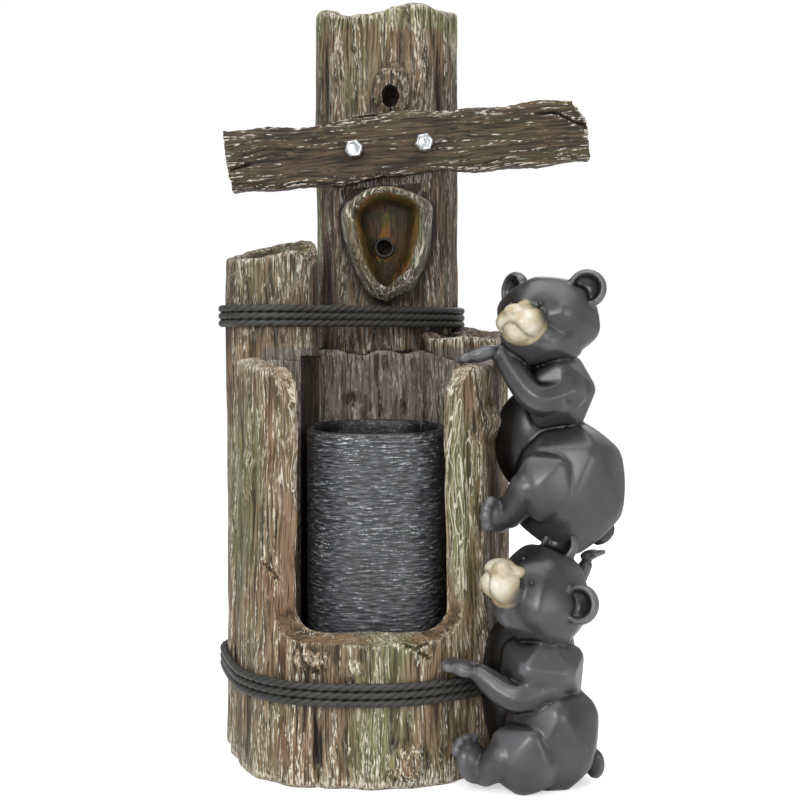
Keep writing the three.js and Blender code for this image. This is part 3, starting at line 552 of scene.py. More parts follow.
# Dents in the basin's back wall: x, z, narrowness, size and depth
BACK_DENTS = ((-21, 412, 1, 15, 3.5), (14, 398, 0.5, 12, 3), (42, 402, 0.5, 13, 3))
# Height well above the rim, where tools that cut the open top end
ABOVE_RIM = 502


def basin_object():
    """Room inside the stump, less the logs that pass down through it."""
    def room_radius(angle, z):
        wall = STUMP_WALL + 2 * math.cos(4 * angle) * math.sin(z / 90)
        rough = 1.5 * stretched(120 * math.cos(angle), 120 * math.sin(angle), z, 14, 90, 51)
        return STUMP["base"] * squareness(angle, STUMP["square"]) - wall + rough

    room = piece_object("room", clearing_mesh(room_radius, BASIN_FLOOR, ABOVE_RIM, (0, 0), 160, 90), 1)
    behind = bmesh.new()
    bmesh.ops.create_grid(behind, x_segments=90, y_segments=120, size=1)

    def back_face(spot):
        x, z = 200 * spot.x, 260 + 290 * spot.y
        dent = sum(deep * bump(math.hypot((x - dent_x) / narrow, z - dent_z) / size)
                   for dent_x, dent_z, narrow, size, deep in BACK_DENTS)
        waves = 1.6 * stretched(x, 0, z, 12, 110, 61) + 0.8 * stretched(x, 0, z, 5, 60, 67)
        return Vector((x, BASIN_BACK + dent + waves, z))

    reshape(behind, back_face)
    sides = bmesh.ops.extrude_face_region(behind, geom=behind.faces[:])
    moved = [part for part in sides["geom"] if isinstance(part, bmesh.types.BMVert)]
    for vert in moved:
        vert.co.y = BASIN_BACK + 260
    room = combine(room, piece_object("behind", behind, 1), "DIFFERENCE")
    for log in (LEFT_LOG, RIGHT_LOG):
        def kept(angle, z, log=log):
            return log_radius(log, angle, z) + LOG_WALL
        post = clearing_mesh(kept, -20, 560, (log["x"], log["y"]), 60, 40)
        room = combine(room, piece_object("post", post, 1), "DIFFERENCE")
    return room


def vessel_room_object():
    """Upright room round the vessel, cut out of any log that would stand in its way."""
    low, high = node_box("cascade_vessel")
    centre = (low + high) / 2
    half = (high - low) / 2
    room = spun([(0, 0), (1, 0), (1, 0.5), (1, 1), (0, 1)], 60)

    def place(spot):
        share, angle = polar(spot)
        radius = share * squareness(angle, VESSEL["square"])
        y = centre.y + (half.y + VESSEL_ROOM) * radius * math.sin(angle)
        z = BASIN_FLOOR + (STUMP_HEIGHT + RIM_SLOPE / 2 - BASIN_FLOOR) * spot.z
        return Vector((centre.x + (half.x + VESSEL_ROOM) * radius * math.cos(angle), min(y, BASIN_BACK), z))

    return piece_object("vessel room", reshape(room, place), 1)


def window_object():
    """Cutter for the front window: a U that widens outwards, its edges worn and wavy."""
    rim = STUMP_HEIGHT - RIM_SLOPE
    wear_start = rim - WINDOW_TOP_DROP
    straight = wear_start - WINDOW_SILL - WINDOW_CORNER
    worn = rim + RIM_SLOPE - wear_start
    steps = 8
    outline = [(-WINDOW_LEFT, wear_start - straight * i / 60) for i in range(60)]
    for i in range(steps):
        turn = math.pi / 2 * i / steps
        outline.append((-WINDOW_LEFT + WINDOW_CORNER * (1 - math.cos(turn)),
                        WINDOW_SILL + WINDOW_CORNER * (1 - math.sin(turn))))
    span = WINDOW_RIGHT + WINDOW_LEFT - 2 * WINDOW_CORNER
    outline += [(-WINDOW_LEFT + WINDOW_CORNER + span * i / 30, WINDOW_SILL) for i in range(30)]
    for i in range(steps):
        turn = math.pi / 2 * i / steps
        outline.append((WINDOW_RIGHT - WINDOW_CORNER * (1 - math.sin(turn)),
                        WINDOW_SILL + WINDOW_CORNER * (1 - math.cos(turn))))
    outline += [(WINDOW_RIGHT, WINDOW_SILL + WINDOW_CORNER + straight * i / 60) for i in range(60)]
    for i in range(steps + 1):
        flare = WINDOW_TOP_WEAR * (i / steps) ** 2
        outline.append((WINDOW_RIGHT + flare, wear_start + worn * i / steps))
    outline += [(WINDOW_RIGHT + WINDOW_TOP_WEAR, rim + 60), (-WINDOW_LEFT - WINDOW_TOP_WEAR, rim + 60)]
    for i in range(steps + 1):
        share = 1 - i / steps
        outline.append((-WINDOW_LEFT - WINDOW_TOP_WEAR * share ** 2, wear_start + worn * share))

    mesh = bmesh.new()
    corners = [mesh.verts.new((x, 0, z)) for x, z in outline[:-1]]
    face = mesh.faces.new(corners)
    inner = STUMP["base"] - STUMP_WALL
    centre = (WINDOW_RIGHT - WINDOW_LEFT) / 2
    half = (WINDOW_RIGHT + WINDOW_LEFT) / 2
    depths = [-52, -90] + [-100 - 4 * i for i in range(18)]
    front = [face]
    for step in range(len(depths) - 1):
        grown = bmesh.ops.extrude_face_region(mesh, geom=front)
        moved = [part for part in grown["geom"] if isinstance(part, bmesh.types.BMVert)]
        bmesh.ops.translate(mesh, verts=moved, vec=(0, 1, 0))
        if step:
            bmesh.ops.delete(mesh, geom=front, context="FACES_ONLY")
        front = [part for part in grown["geom"] if isinstance(part, bmesh.types.BMFace)]

    def place(spot):
        x, z = spot.x, spot.z
        y = depths[min(len(depths) - 1, round(spot.y))]
        aside = min(1, abs(x) / inner) ** STUMP["square"]
        face_y = -inner * (1 - aside) ** (1 / STUMP["square"])
        out = max(0, (face_y - y) / STUMP_WALL)
        widen = 1 + out * WINDOW_FLARE / half
        wave = out * 3 * math.sin(z / 38 + (1 if x > centre else 3))
        lower = out * 8 * max(0, 1 - (z - WINDOW_SILL) / (2 * WINDOW_CORNER))
        rough = 3.2 * stretched(x, y, z, 26, 55, 71) + 1.3 * stretched(x, y, z, 9, 30, 77)
        side = 1 if x > centre else -1
        level = abs(x - centre) < half - WINDOW_CORNER
        gouge = 4 * bump(math.hypot((z - 395) / 30, (y + 118) / 14))
        gouge += 5 * bump((z - 330) / 40) * bump((y + 122) / 12)
        return Vector((
            centre + (x - centre) * widen + wave + (0 if level else side * (rough + 0.6 * gouge)),
            y,
            z - lower - (0.6 * rough if level else 0),
        ))

    bmesh.ops.triangulate(mesh, faces=[f for f in mesh.faces if len(f.verts) > 4])
    return piece_object("window", reshape(mesh, place), 1)


OUTLET_RADIUS = 12
BURL = dict(x=23, half_width=53, widest=634, rise=35, drop=99, reach=50, hollow=42)


def burl_object():
    """Thick teardrop lips round the water outlet, with the hollow behind them."""
    lip = TRUNK_FRONT - BURL["reach"]
    reach, hollow = BURL["reach"], BURL["hollow"]
    sections = [
        (0, TRUNK_FRONT + 40, 0), (1.04, TRUNK_FRONT + 40, 0), (1.05, TRUNK_FRONT, 0),
        (1.04, TRUNK_FRONT - 0.25 * reach, 0), (1.02, TRUNK_FRONT - 0.45 * reach, 0),
        (0.99, TRUNK_FRONT - 0.7 * reach, 0), (0.95, lip + 6, 0), (0.91, lip + 1.5, 0), (0.87, lip, 0),
        (0.81, lip - 0.5, 0.15), (0.76, lip + 1, 0.3), (0.71, lip + 5, 0.5), (0.67, lip + 10, 0.7),
        (0.63, lip + 0.45 * hollow, 0.8), (0.59, lip + 0.65 * hollow, 0.85), (0.56, lip + hollow - 8, 0.9),
        (0.48, lip + hollow - 3, 1), (0.4, lip + hollow, 1), (0.2, lip + hollow + 1, 1),
        (0, lip + hollow, 1),
    ]
    mesh = spun([(share, index) for index, (share, _, _) in enumerate(sections)], 130)

    def place(spot):
        share, y, inner = sections[round(spot.z)]
        turn = math.atan2(spot.x, spot.y) if share > 0 else 0.0
        side, up = math.sin(turn), math.cos(turn)
        pinch = abs(side) ** 0.35 if up < 0 else 1
        across = BURL["half_width"] * side * pinch
        rise = (BURL["rise"] if up > 0 else BURL["drop"]) * up
        low = 1 + 0.42 * inner * (-rise / BURL["drop"]) if rise < 0 else 1
        lump = 1 + 0.03 * math.cos(5 * turn + 1)
        lump += 0.035 * noise.noise(Vector((2.2 * side, 2.2 * up, y / 22)))
        lump += 0.016 * (1 - 2 * abs(noise.noise(Vector((5 * side, 5 * up, y / 9 + 4)))))
        lump += 0.014 * (1 - 2 * abs(noise.noise(Vector((7 * side, 2 * up, 9 * share)))))
        return Vector((BURL["x"] + across * share * lump, y, BURL["widest"] + rise * share * low * lump))

    return piece_object("burl", reshape(mesh, place), 1)


def pin_object(x, z, radius, front, back):
    """Round bar along Y for drilling a hole."""
    mesh = spun([(0, 0), (radius, 0), (radius, 1), (0, 1)], 32)
    reshape(mesh, lambda spot: Vector((x + spot.x, front + (back - front) * spot.z, z + spot.y)))
    return piece_object("pin", mesh, 1)


def knot_objects():
    """Raised oval swelling above the crossboard, and the hole low in it."""
    x, z = 26, 792
    half_width, half_height = 25, 33
    swelling = ball((0, 0, 0), (half_width, 15, half_height), fineness=5)

    def place(spot):
        ring = 1.1 * math.cos(math.hypot(spot.x / half_width, (spot.z + 8) / half_height) * 15)
        rough = 1.2 * noise.noise(spot / 9)
        scale = 1 + (ring + rough) / 30
        return Vector((x + spot.x * scale, TRUNK_FRONT + 4 + spot.y * scale, z + spot.z * scale))

    reshape(swelling, place)
    hole = ball((x, TRUNK_FRONT - 8, z - 10), (11, 30, 13.75), fineness=4)
    reshape(hole, lambda spot: spot + 1.2 * noise.noise_vector(spot / 8))
    return piece_object("knot", swelling, 1), piece_object("knot hole", hole, 1)


BOARD_X = 46
BOARD_Z = 721
BOARD_LENGTH = 440
BOARD_HEIGHT = 74
BOARD_THICKNESS = 30
BOARD_TILT = 5.05
BOARD_WAVE = 6.5
BOARD_SEAT = 11
FIT_GAP = 0.35
BOARD_BACK = TRUNK_FRONT + BOARD_SEAT - FIT_GAP
BOARD_Y = BOARD_BACK - BOARD_THICKNESS / 2


def board_seat_object():
    """Cutter for the shallow seat of the crossboard in the trunk."""
    mesh = bmesh.new()
    bmesh.ops.create_cube(mesh, size=1)
    size = (BOARD_LENGTH, BOARD_THICKNESS + 2 * FIT_GAP, BOARD_HEIGHT + 2 * BOARD_WAVE)
    bmesh.ops.scale(mesh, verts=mesh.verts, vec=size)
    on_board(mesh)
    return piece_object("board seat", mesh, 1)


def on_board(mesh):
    """Tilts what is drawn flat about the board's centre into the board's pose."""
    tilt = Matrix.Rotation(-BOARD_TILT * DEGREE, 3, "Y")
    bmesh.ops.rotate(mesh, verts=mesh.verts, cent=(0, 0, 0), matrix=tilt)
    bmesh.ops.translate(mesh, verts=mesh.verts, vec=(BOARD_X, BOARD_Y, BOARD_Z))
    return mesh


def log_body():
    """The joined logs with basin, window, burl, knothole, outlet and board seat."""
    body = piece_object("log_body_finish", log_mesh(STUMP), 1)
    for log in (TRUNK, LEFT_LOG, RIGHT_LOG):
        body = combine(body, piece_object("log", log_mesh(log), 1), "UNION")
    body = combine(body, basin_object(), "DIFFERENCE")
    body = combine(body, vessel_room_object(), "DIFFERENCE")
    body = combine(body, window_object(), "DIFFERENCE")
    knot, hole = knot_objects()
    body = combine(body, knot, "UNION")
    body = combine(body, hole, "DIFFERENCE")
    lip = TRUNK_FRONT - BURL["reach"]
    wide = 0.36 * BURL["half_width"]
    hollow = pin_object(BURL["x"], BURL["widest"] - 12, wide, lip, lip + BURL["hollow"])
    body = combine(body, hollow, "DIFFERENCE")
    body = combine(body, burl_object(), "UNION")
    outlet = node_centre("outlet_tube")
    bore = pin_object(outlet.x, outlet.z, OUTLET_RADIUS + FIT_GAP, lip + 10, lip + 55)
    body = combine(body, bore, "DIFFERENCE")
    body = combine(body, board_seat_object(), "DIFFERENCE")
    body.data.transform(Matrix.Scale(MM, 4))
    return body


# Paint zones of the logs, worked out from where a vertex lies

# Patches of moss: x, z, half width, half height and strength
MOSS = ((-142, 320, 36, 120, 1.3), (-150, 240, 30, 80, 0.8), (18, 90, 40, 110, 1.2), (4, 30, 26, 60, 0.7),
        (44, 155, 34, 24, 1.2), (105, 300, 20, 160, 0.5), (66, 600, 22, 40, 0.6), (-30, 600, 14, 60, 0.5),
        (-140, 560, 40, 40, 0.6), (0, 840, 26, 60, 0.7), (-20, 790, 20, 60, 0.5), (98, 300, 26, 150, 1.3))


def paint_zones(body):
    """Marks the cut wood, the inside, the burl, its spout, the moss and the darker upper wood."""
    places = positions(body)
    x, y, z = places.T
    radius = np.hypot(x, y)
    angle = np.arctan2(y, x)
    taper = STUMP["base"] + (STUMP["top"] - STUMP["base"]) * z / STUMP_HEIGHT
    depth_in = taper * squareness_all(angle, STUMP["square"]) - radius
    out = normals(body)
    front = np.clip(-out[:, 1], 0, 1)
    in_stump = (z < 476) & (y < BASIN_BACK + 8) & (depth_in > 3)
    inside = in_stump & (depth_in > STUMP_WALL - 5) & (z > BASIN_FLOOR - 2)
    on_window = in_stump & ~inside & (x > -135) & (x < 135) & (y < -70) & (z > WINDOW_SILL - 22)
    back = (np.abs(y - BASIN_BACK) < 8) & (np.abs(x) < 125) & (z > BASIN_FLOOR) & (z < 480)
    paint(body, "cut", np.where(on_window, 1.0, 0.0))
    paint(body, "inside", np.where(inside | back, 1.0, 0.0))
    burl = (y < TRUNK_FRONT - 3) & (z > 525) & (z < 682) & (np.abs(x - BURL["x"]) < 62)
    within = np.hypot((x - BURL["x"]) / 40, (z - 610) / 66)
    paint(body, "burl", np.where(burl, 1.0, 0.0))
    paint(body, "spout", np.where(burl & (within < 1) & (y > TRUNK_FRONT - 46), 1.0, 0.0))
    moss = np.zeros(len(x))
    for spot_x, spot_z, wide, high, share in MOSS:
        away = np.hypot((x - spot_x) / wide, (z - spot_z) / high)
        moss += share * np.clip(1 - away, 0, 1) * (front > 0.1)
    moss += 0.9 * ((z > 870) & (np.abs(x - 20) < 100))
    moss += 0.7 * ((z > 588) & (x < -60) & (x > -175))
    paint(body, "moss", moss)
    # Darker wood on the trunk above the stump's rim, lighter again towards the trunk's top, and on the left
    # log above the rim
    upper_darkening = np.where((y > BASIN_BACK - 4) & (z > 476) & (x > -70), np.clip((900 - z) / 90, 0.55, 1), 0.0)
    upper_darkening = np.maximum(upper_darkening, np.where((x < -60) & (z > 480) & (y > -30), 0.85, 0.0))
    paint(body, "upper_darkening", upper_darkening)


def bark_material():
    """Painted bark: brown streaks, painted shade in the cracks and recesses, white dry brushing, moss and the
    inner zones.
    """
    material, g, shader = new_material("Painted bark", roughness=0.62, specular=0.25)
    place = g.place()
    grain = use_group(g, WOOD_GRAIN, Place=place, Width=230.0, Wave=0.45)
    proud, bulk = g.attribute("proud"), g.attribute("bulk")
    cut, inside, moss = g.attribute("cut"), g.attribute("inside"), g.attribute("moss")
    burl, upper_darkening = g.attribute("burl"), g.attribute("upper_darkening")
    brown = g.mix(g.span(grain["Streaks"], 0.37, 0.64), colour(50, 39, 28), colour(138, 117, 92))
    warm = g.mix(g.span(grain["Blotches"], 0.42, 0.66, 0.0, 0.6), brown, colour(112, 102, 68))
    rust = g.span(g.noise(g.scaled(place, (1, 1, 0.3), (0.4, 0, 0)), 26.0), 0.5, 0.7, 0.0, 0.5)
    base = g.mix(rust, warm, colour(122, 88, 64))
    cut_tone = g.mix(g.span(grain["Blotches"], 0.36, 0.64), colour(136, 110, 86), colour(104, 92, 68))
    cut_tone = g.mix(g.span(grain["Streaks"], 0.34, 0.52, 0.6, 0.0), cut_tone, colour(72, 56, 44))
    base = g.mix(cut, base, cut_tone)
    knotty = g.mix(g.span(grain["Blotches"], 0.35, 0.62), colour(88, 68, 44), colour(68, 68, 42))
    knotty = g.mix(g.span(grain["Streaks"], 0.35, 0.6), colour(44, 36, 24), knotty)
    grey = g.mix(g.span(grain["Streaks"], 0.3, 0.7), colour(74, 66, 58), colour(120, 110, 98))
    base = g.mix(inside, base, grey)
    upper_wood_tone = g.mix(g.span(grain["Streaks"], 0.36, 0.66), colour(42, 32, 25), colour(106, 86, 68))
    base = g.mix(g.math("MULTIPLY", upper_darkening, 0.8), base, upper_wood_tone)
    base = g.mix(burl, base, knotty)
    honey = g.mix(g.span(g.noise(place, 40.0, 2.0), 0.4, 0.62), colour(116, 80, 34), colour(72, 70, 28))
    base = g.mix(g.attribute("spout"), base, honey)
    green = g.mix(g.span(grain["Streaks"], 0.35, 0.65), colour(66, 76, 44), colour(118, 126, 80))
    mossy = g.math("MULTIPLY", moss, g.span(grain["Blotches"], 0.3, 0.6, 0.3, 1.0), clamp=True)
    base = g.mix(g.math("MULTIPLY", mossy, 0.8), base, green)
    # Painted shade: darker where the wood lies back in recesses and furrows, weaker in the basin and the
    # spout; the dark hair lines of the grain take the same colour
    hollow = g.math("MAXIMUM", inside, g.attribute("spout"))
    hollow = g.math("SUBTRACT", 1.0, g.math("MULTIPLY", hollow, 0.85))
    hollow = g.math("MULTIPLY", g.span(bulk, -0.1, -0.9, 0.0, 0.75), hollow)
    dark = g.math("ADD", g.span(grain["Hairs"], 0.47, 0.35, 0.0, 0.85), hollow)
    dark = g.math("ADD", dark, g.span(proud, -0.25, -1.3, 0.0, 0.6), clamp=True)
    base = g.mix(dark, base, colour(34, 26, 20))
    edge = wood_edge(g, grain, proud, bulk, 0.14)
    speck = g.span(g.noise(g.scaled(place, (1, 1, 0.3)), 430.0, 2.0), 0.42, 0.56)
    threads = g.math("MULTIPLY", grain["Threads"], g.span(edge, 0.2, 0.62))
    broken = g.math("ADD", g.math("MULTIPLY", speck, 0.85), 0.1)
    threads = g.math("MULTIPLY", g.span(threads, 0.2, 0.7), broken)
    strength = 0.95
    for zone, loss in ((upper_darkening, 0.35), (burl, 0.75), (inside, 0.5), (cut, 0.45)):
        strength = g.math("SUBTRACT", strength, g.math("MULTIPLY", zone, loss), clamp=zone is cut)
    base = g.mix(g.math("MULTIPLY", threads, strength), base, colour(216, 210, 194))
    caught = use_group(g, DRY_BRUSH, Proud=edge, Grain=grain["Hairs"], Reach=0.9, Soft=0.25)["Share"]
    caught = g.math("MULTIPLY", g.math("MULTIPLY", caught, speck), strength)
    base = g.mix(g.math("MULTIPLY", caught, 0.6), base, colour(222, 214, 200))
    wavy = g.math("MULTIPLY", g.span(grain["Lines"], 0.58, 0.84), g.span(grain["Blotches"], 0.43, 0.53))
    line_share = g.math("ADD", g.math("MULTIPLY", g.math("MAXIMUM", cut, burl), 0.55), 0.12)
    line_share = g.math("SUBTRACT", line_share, g.attribute("spout"), clamp=True)
    base = g.mix(g.math("MULTIPLY", wavy, line_share), base, colour(228, 220, 204))
    g.feed(shader.inputs["Base Color"], base)
    wood_bump(g, shader, grain, 0.7)
    return material


# Cascade vessel: level ripples that break off and start again, on an open bucket

VESSEL = dict(x=10, y=-14, half_width=80, half_depth=75, square=2.5, lip=384, wall=7, floor=8, slope=4)
VESSEL_ROOM = 9


def vessel_mesh():
    """Open bucket whose outer wall is covered in fine level ripples."""
    bottom = BASIN_FLOOR + FIT_GAP
    lip, floor = VESSEL["lip"], VESSEL["floor"]
    half_width, half_depth = VESSEL["half_width"], VESSEL["half_depth"]
    inner = 1 - VESSEL["wall"] / half_width
    profile = [(0, bottom), (0.5, bottom), (0.95, bottom), (0.985, bottom + 1.5)]
    rings = 230
    profile += [(1, bottom + 5 + (lip - bottom - 8) * i / rings) for i in range(rings + 1)]
    profile += [(0.99, lip), (inner + 0.02, lip), (inner, lip - 2)]
    profile += [(inner, lip - 2 - (lip - 4 - bottom - floor) * i / 40) for i in range(1, 41)]
    profile += [(0.5, bottom + floor), (0, bottom + floor)]

    def place(spot):
        share, angle = polar(spot)
        z = spot.z
        radius = share * squareness(angle, VESSEL["square"])
        x = VESSEL["x"] + half_width * radius * math.cos(angle)
        y = VESSEL["y"] + half_depth * radius * math.sin(angle)
        if share > 0.9 and bottom + 4 < z < lip - 1:
            drift = 6 * noise.noise(Vector((x / 50, y / 50, z / 60)))
            wave = noise.noise(Vector((x / 22, y / 22, (z + drift) / 2.9)))
            wave += 0.8 * noise.noise(Vector((x / 9 + 7, y / 9, (z + drift) / 1.9)))
            out = 1 + 0.75 * wave / half_width
            x = VESSEL["x"] + (x - VESSEL["x"]) * out
            y = VESSEL["y"] + (y - VESSEL["y"]) * out
        slope = VESSEL["slope"] * math.sin(angle) if z > bottom + floor + 1 else 0
        return Vector((x, y, z + slope))

    return reshape(spun(profile, 240), place)


def paint_vessel_lip(vessel):
    """Marks the rim and the inner walls, which painted shade leaves nearly black."""
    x, y, z = positions(vessel).T
    across = (x - VESSEL["x"]) / VESSEL["half_width"]
    along = (y - VESSEL["y"]) / VESSEL["half_depth"]
    angle = np.arctan2(along, across)
    share = np.hypot(across, along) / squareness_all(angle, VESSEL["square"])
    inner = np.clip((0.985 - share) / 0.02, 0, 1)
    rim = np.clip((z - VESSEL["slope"] * np.sin(angle) - VESSEL["lip"] + 5) / 3, 0, 1)
    paint(vessel, "lip", np.maximum(inner, rim))


def slate_material():
    """Dark slate grey with painted glints as pale level dashes, painted shade in the ripple troughs and
    painted shade on the rim and inner walls.
    """
    material, g, shader = new_material("Dark slate", roughness=0.42, specular=0.45)
    place = g.place()
    dashes = g.noise(g.scaled(place, (1, 1, 9)), 85.0, 2.0, 0.6, 0.2)
    speck = g.noise(g.scaled(place, (1, 1, 2.4), (0.2, 0.5, 0)), 330.0, 2.0, 0.6)
    patches = g.noise(g.scaled(place, (1, 1, 1.6)), 26.0, 3.0)
    edge = g.attribute("proud")
    base = g.mix(g.span(dashes, 0.36, 0.62), colour(36, 37, 39), colour(88, 90, 93))
    base = g.mix(g.span(patches, 0.45, 0.7, 0.0, 0.5), base, colour(46, 50, 52))
    # Painted shade, near black, in the troughs between the ripples
    base = g.mix(g.span(edge, -0.1, -0.9, 0.0, 0.7), base, colour(14, 14, 15))
    # Painted glints: pale level dashes where the dashes, patches and ripple crests line up, broken up by the
    # speckle
    lit = g.math("ADD", g.math("MULTIPLY", dashes, 0.9), g.math("MULTIPLY", patches, 0.4))
    lit = g.math("ADD", lit, g.math("MULTIPLY", edge, 0.1))
    caught = g.math("MULTIPLY", g.span(lit, 0.72, 0.9), g.span(speck, 0.42, 0.6))
    base = g.mix(g.math("MULTIPLY", caught, 0.85), base, colour(206, 208, 210))
    # Painted shade: the rim and the inner walls are made nearly black
    lip = g.attribute("lip")
    base = g.mix(lip, base, colour(13, 14, 16))
    # Painted glints: pale squiggles on the dark rim and inner walls
    rim_glints = g.ridge(g.noise(g.scaled(place, (1, 1, 2)), 60.0, 2.0, 0.6, 0.8), 22.0)
    base = g.mix(g.math("MULTIPLY", g.span(rim_glints, 0.45, 0.9), g.math("MULTIPLY", lip, 0.5)), base,
                 colour(140, 144, 148))
    g.feed(shader.inputs["Base Color"], base)
    rough_bump(g, shader, dashes, 0.5, 0.001)
    return material


# Ropes: three turns of a three-strand rope laid on one another, drawn taut round the logs

ROPE_DIAMETER = 8.6
ROPE_TURNS = 3
ROPE_SLACK = 0.8
ROPE_FLATS = 24
STRAND_LAY = 34
ROPE_SIDES = 18


def rope_route(logs, z):
    """Corners of the taut rope as in the solid: where neighbouring flats meet."""
    reach = ROPE_TURNS * ROPE_DIAMETER / 2
    stand = ROPE_DIAMETER / 2 + FIT_GAP + ROPE_SLACK
    spots = []
    for log in logs:
        for step in range(96):
            angle = step / 96 * 2 * math.pi
            for level in (z - reach, z, z + reach):
                radius = log_radius(log, angle, level)
                spots.append((log["x"] + radius * math.cos(angle),
                              log["y"] + radius * math.sin(angle) * log["deep"]))
    spots = np.array(spots)
    flats = []
    for step in range(ROPE_FLATS):
        turn = step / ROPE_FLATS * 2 * math.pi
        away = spots @ np.array((math.cos(turn), math.sin(turn)))
        flats.append((turn, float(away.max()) + stand))
    corners = []
    for index, (turn, away) in enumerate(flats):
        next_turn, next_away = flats[(index + 1) % ROPE_FLATS]
        spread = math.sin(next_turn - turn)
        corners.append(Vector((
            (away * math.sin(next_turn) - next_away * math.sin(turn)) / spread,
            (next_away * math.cos(turn) - away * math.cos(next_turn)) / spread,
            z,
        )))
    return corners


def even_ring(corners, spacing):
    """Closed route through the corners, rounded and cut into even steps."""
    for _ in range(3):
        cut = []
        for index, corner in enumerate(corners):
            after = corners[(index + 1) % len(corners)]
            cut += [corner.lerp(after, 0.25), corner.lerp(after, 0.75)]
        corners = cut
    lengths = [(corners[(i + 1) % len(corners)] - corner).length for i, corner in enumerate(corners)]
    total = sum(lengths)
    count = round(total / spacing)
    ring, travelled, index = [], 0.0, 0
    for step in range(count):
        goal = total * step / count
        while travelled + lengths[index] < goal:
            travelled += lengths[index]
            index += 1
        after = corners[(index + 1) % len(corners)]
        ring.append(corners[index].lerp(after, (goal - travelled) / lengths[index]))
    return ring, total


def rope_turn_mesh(route, total, height, phase):
    """One closed turn of twisted rope, its three strands showing as diagonal ridges."""
    mesh = bmesh.new()
    bmesh.ops.create_grid(mesh, x_segments=len(route), y_segments=ROPE_SIDES, size=1)
    thirds = round(3 * total / STRAND_LAY)
    count = len(route)
    radius = ROPE_DIAMETER / 2

    def place(spot):
        step = round((spot.x + 1) / 2 * count)
        side = (spot.y + 1) / 2 * 2 * math.pi
        index = step % count
        here, after = route[index], route[(index + 1) % count]
        along = (after - here).normalized()
        out = Vector((along.y, -along.x, 0))
        twist = 2 * math.pi * thirds / 3 * index / count + phase
        ridge = abs(math.cos(1.5 * (side - twist)))
        size = radius * (0.78 + 0.26 * ridge ** 0.6)
        middle = here + Vector((0, 0, height))
        return middle + out * (size * math.cos(side)) + Vector((0, 0, size * math.sin(side)))

    reshape(mesh, place)
    bmesh.ops.remove_doubles(mesh, verts=mesh.verts, dist=0.02)
    return mesh


def rope_piece(name, node, logs):
    """Turns of rope laid on one another round some of the logs."""
    low, high = node_box(node)
    z = (low.z + high.z) / 2
    route, total = even_ring(rope_route(logs, z), 1.8)
    whole = bmesh.new()
    for turn in range(ROPE_TURNS):
        height = (turn - (ROPE_TURNS - 1) / 2) * ROPE_DIAMETER
        add_mesh(whole, rope_turn_mesh(route, total, height, 1.9 * turn))
    rope = shade_smooth(piece_object(name, whole))
    paint_relief(rope, 6, 20, 0.25, 1.0)
    return rope


def rope_material():
    """Dark grey satin rope, with painted shade between the strands and painted highlights on their crests."""
    material, g, shader = new_material("Moulded rope", roughness=0.46, specular=0.35)
    place = g.place()
    patches = g.noise(place, 30.0, 3.0)
    fibres = g.noise(g.scaled(place, (1, 1, 3)), 500.0, 2.0)
    base = g.mix(g.span(patches, 0.35, 0.65), colour(18, 18, 18), colour(36, 35, 33))
    base = g.mix(g.span(g.noise(place, 12.0, 2.0), 0.55, 0.7, 0.0, 0.4), base, colour(38, 50, 44))
    proud = g.attribute("proud")
    # Painted shade: nearly black in the grooves between the strands
    base = g.mix(g.span(proud, 0.2, -0.6, 0.0, 1.0), base, colour(6, 6, 7))
    # Painted highlight: lighter grey on the crests of the strands
    base = g.mix(g.span(proud, 0.5, 1.3, 0.0, 0.4), base, colour(78, 77, 73))
    g.feed(shader.inputs["Base Color"], base)
    rough_bump(g, shader, fibres, 0.25, 0.0006)
    return material


# Crossboard and bolts

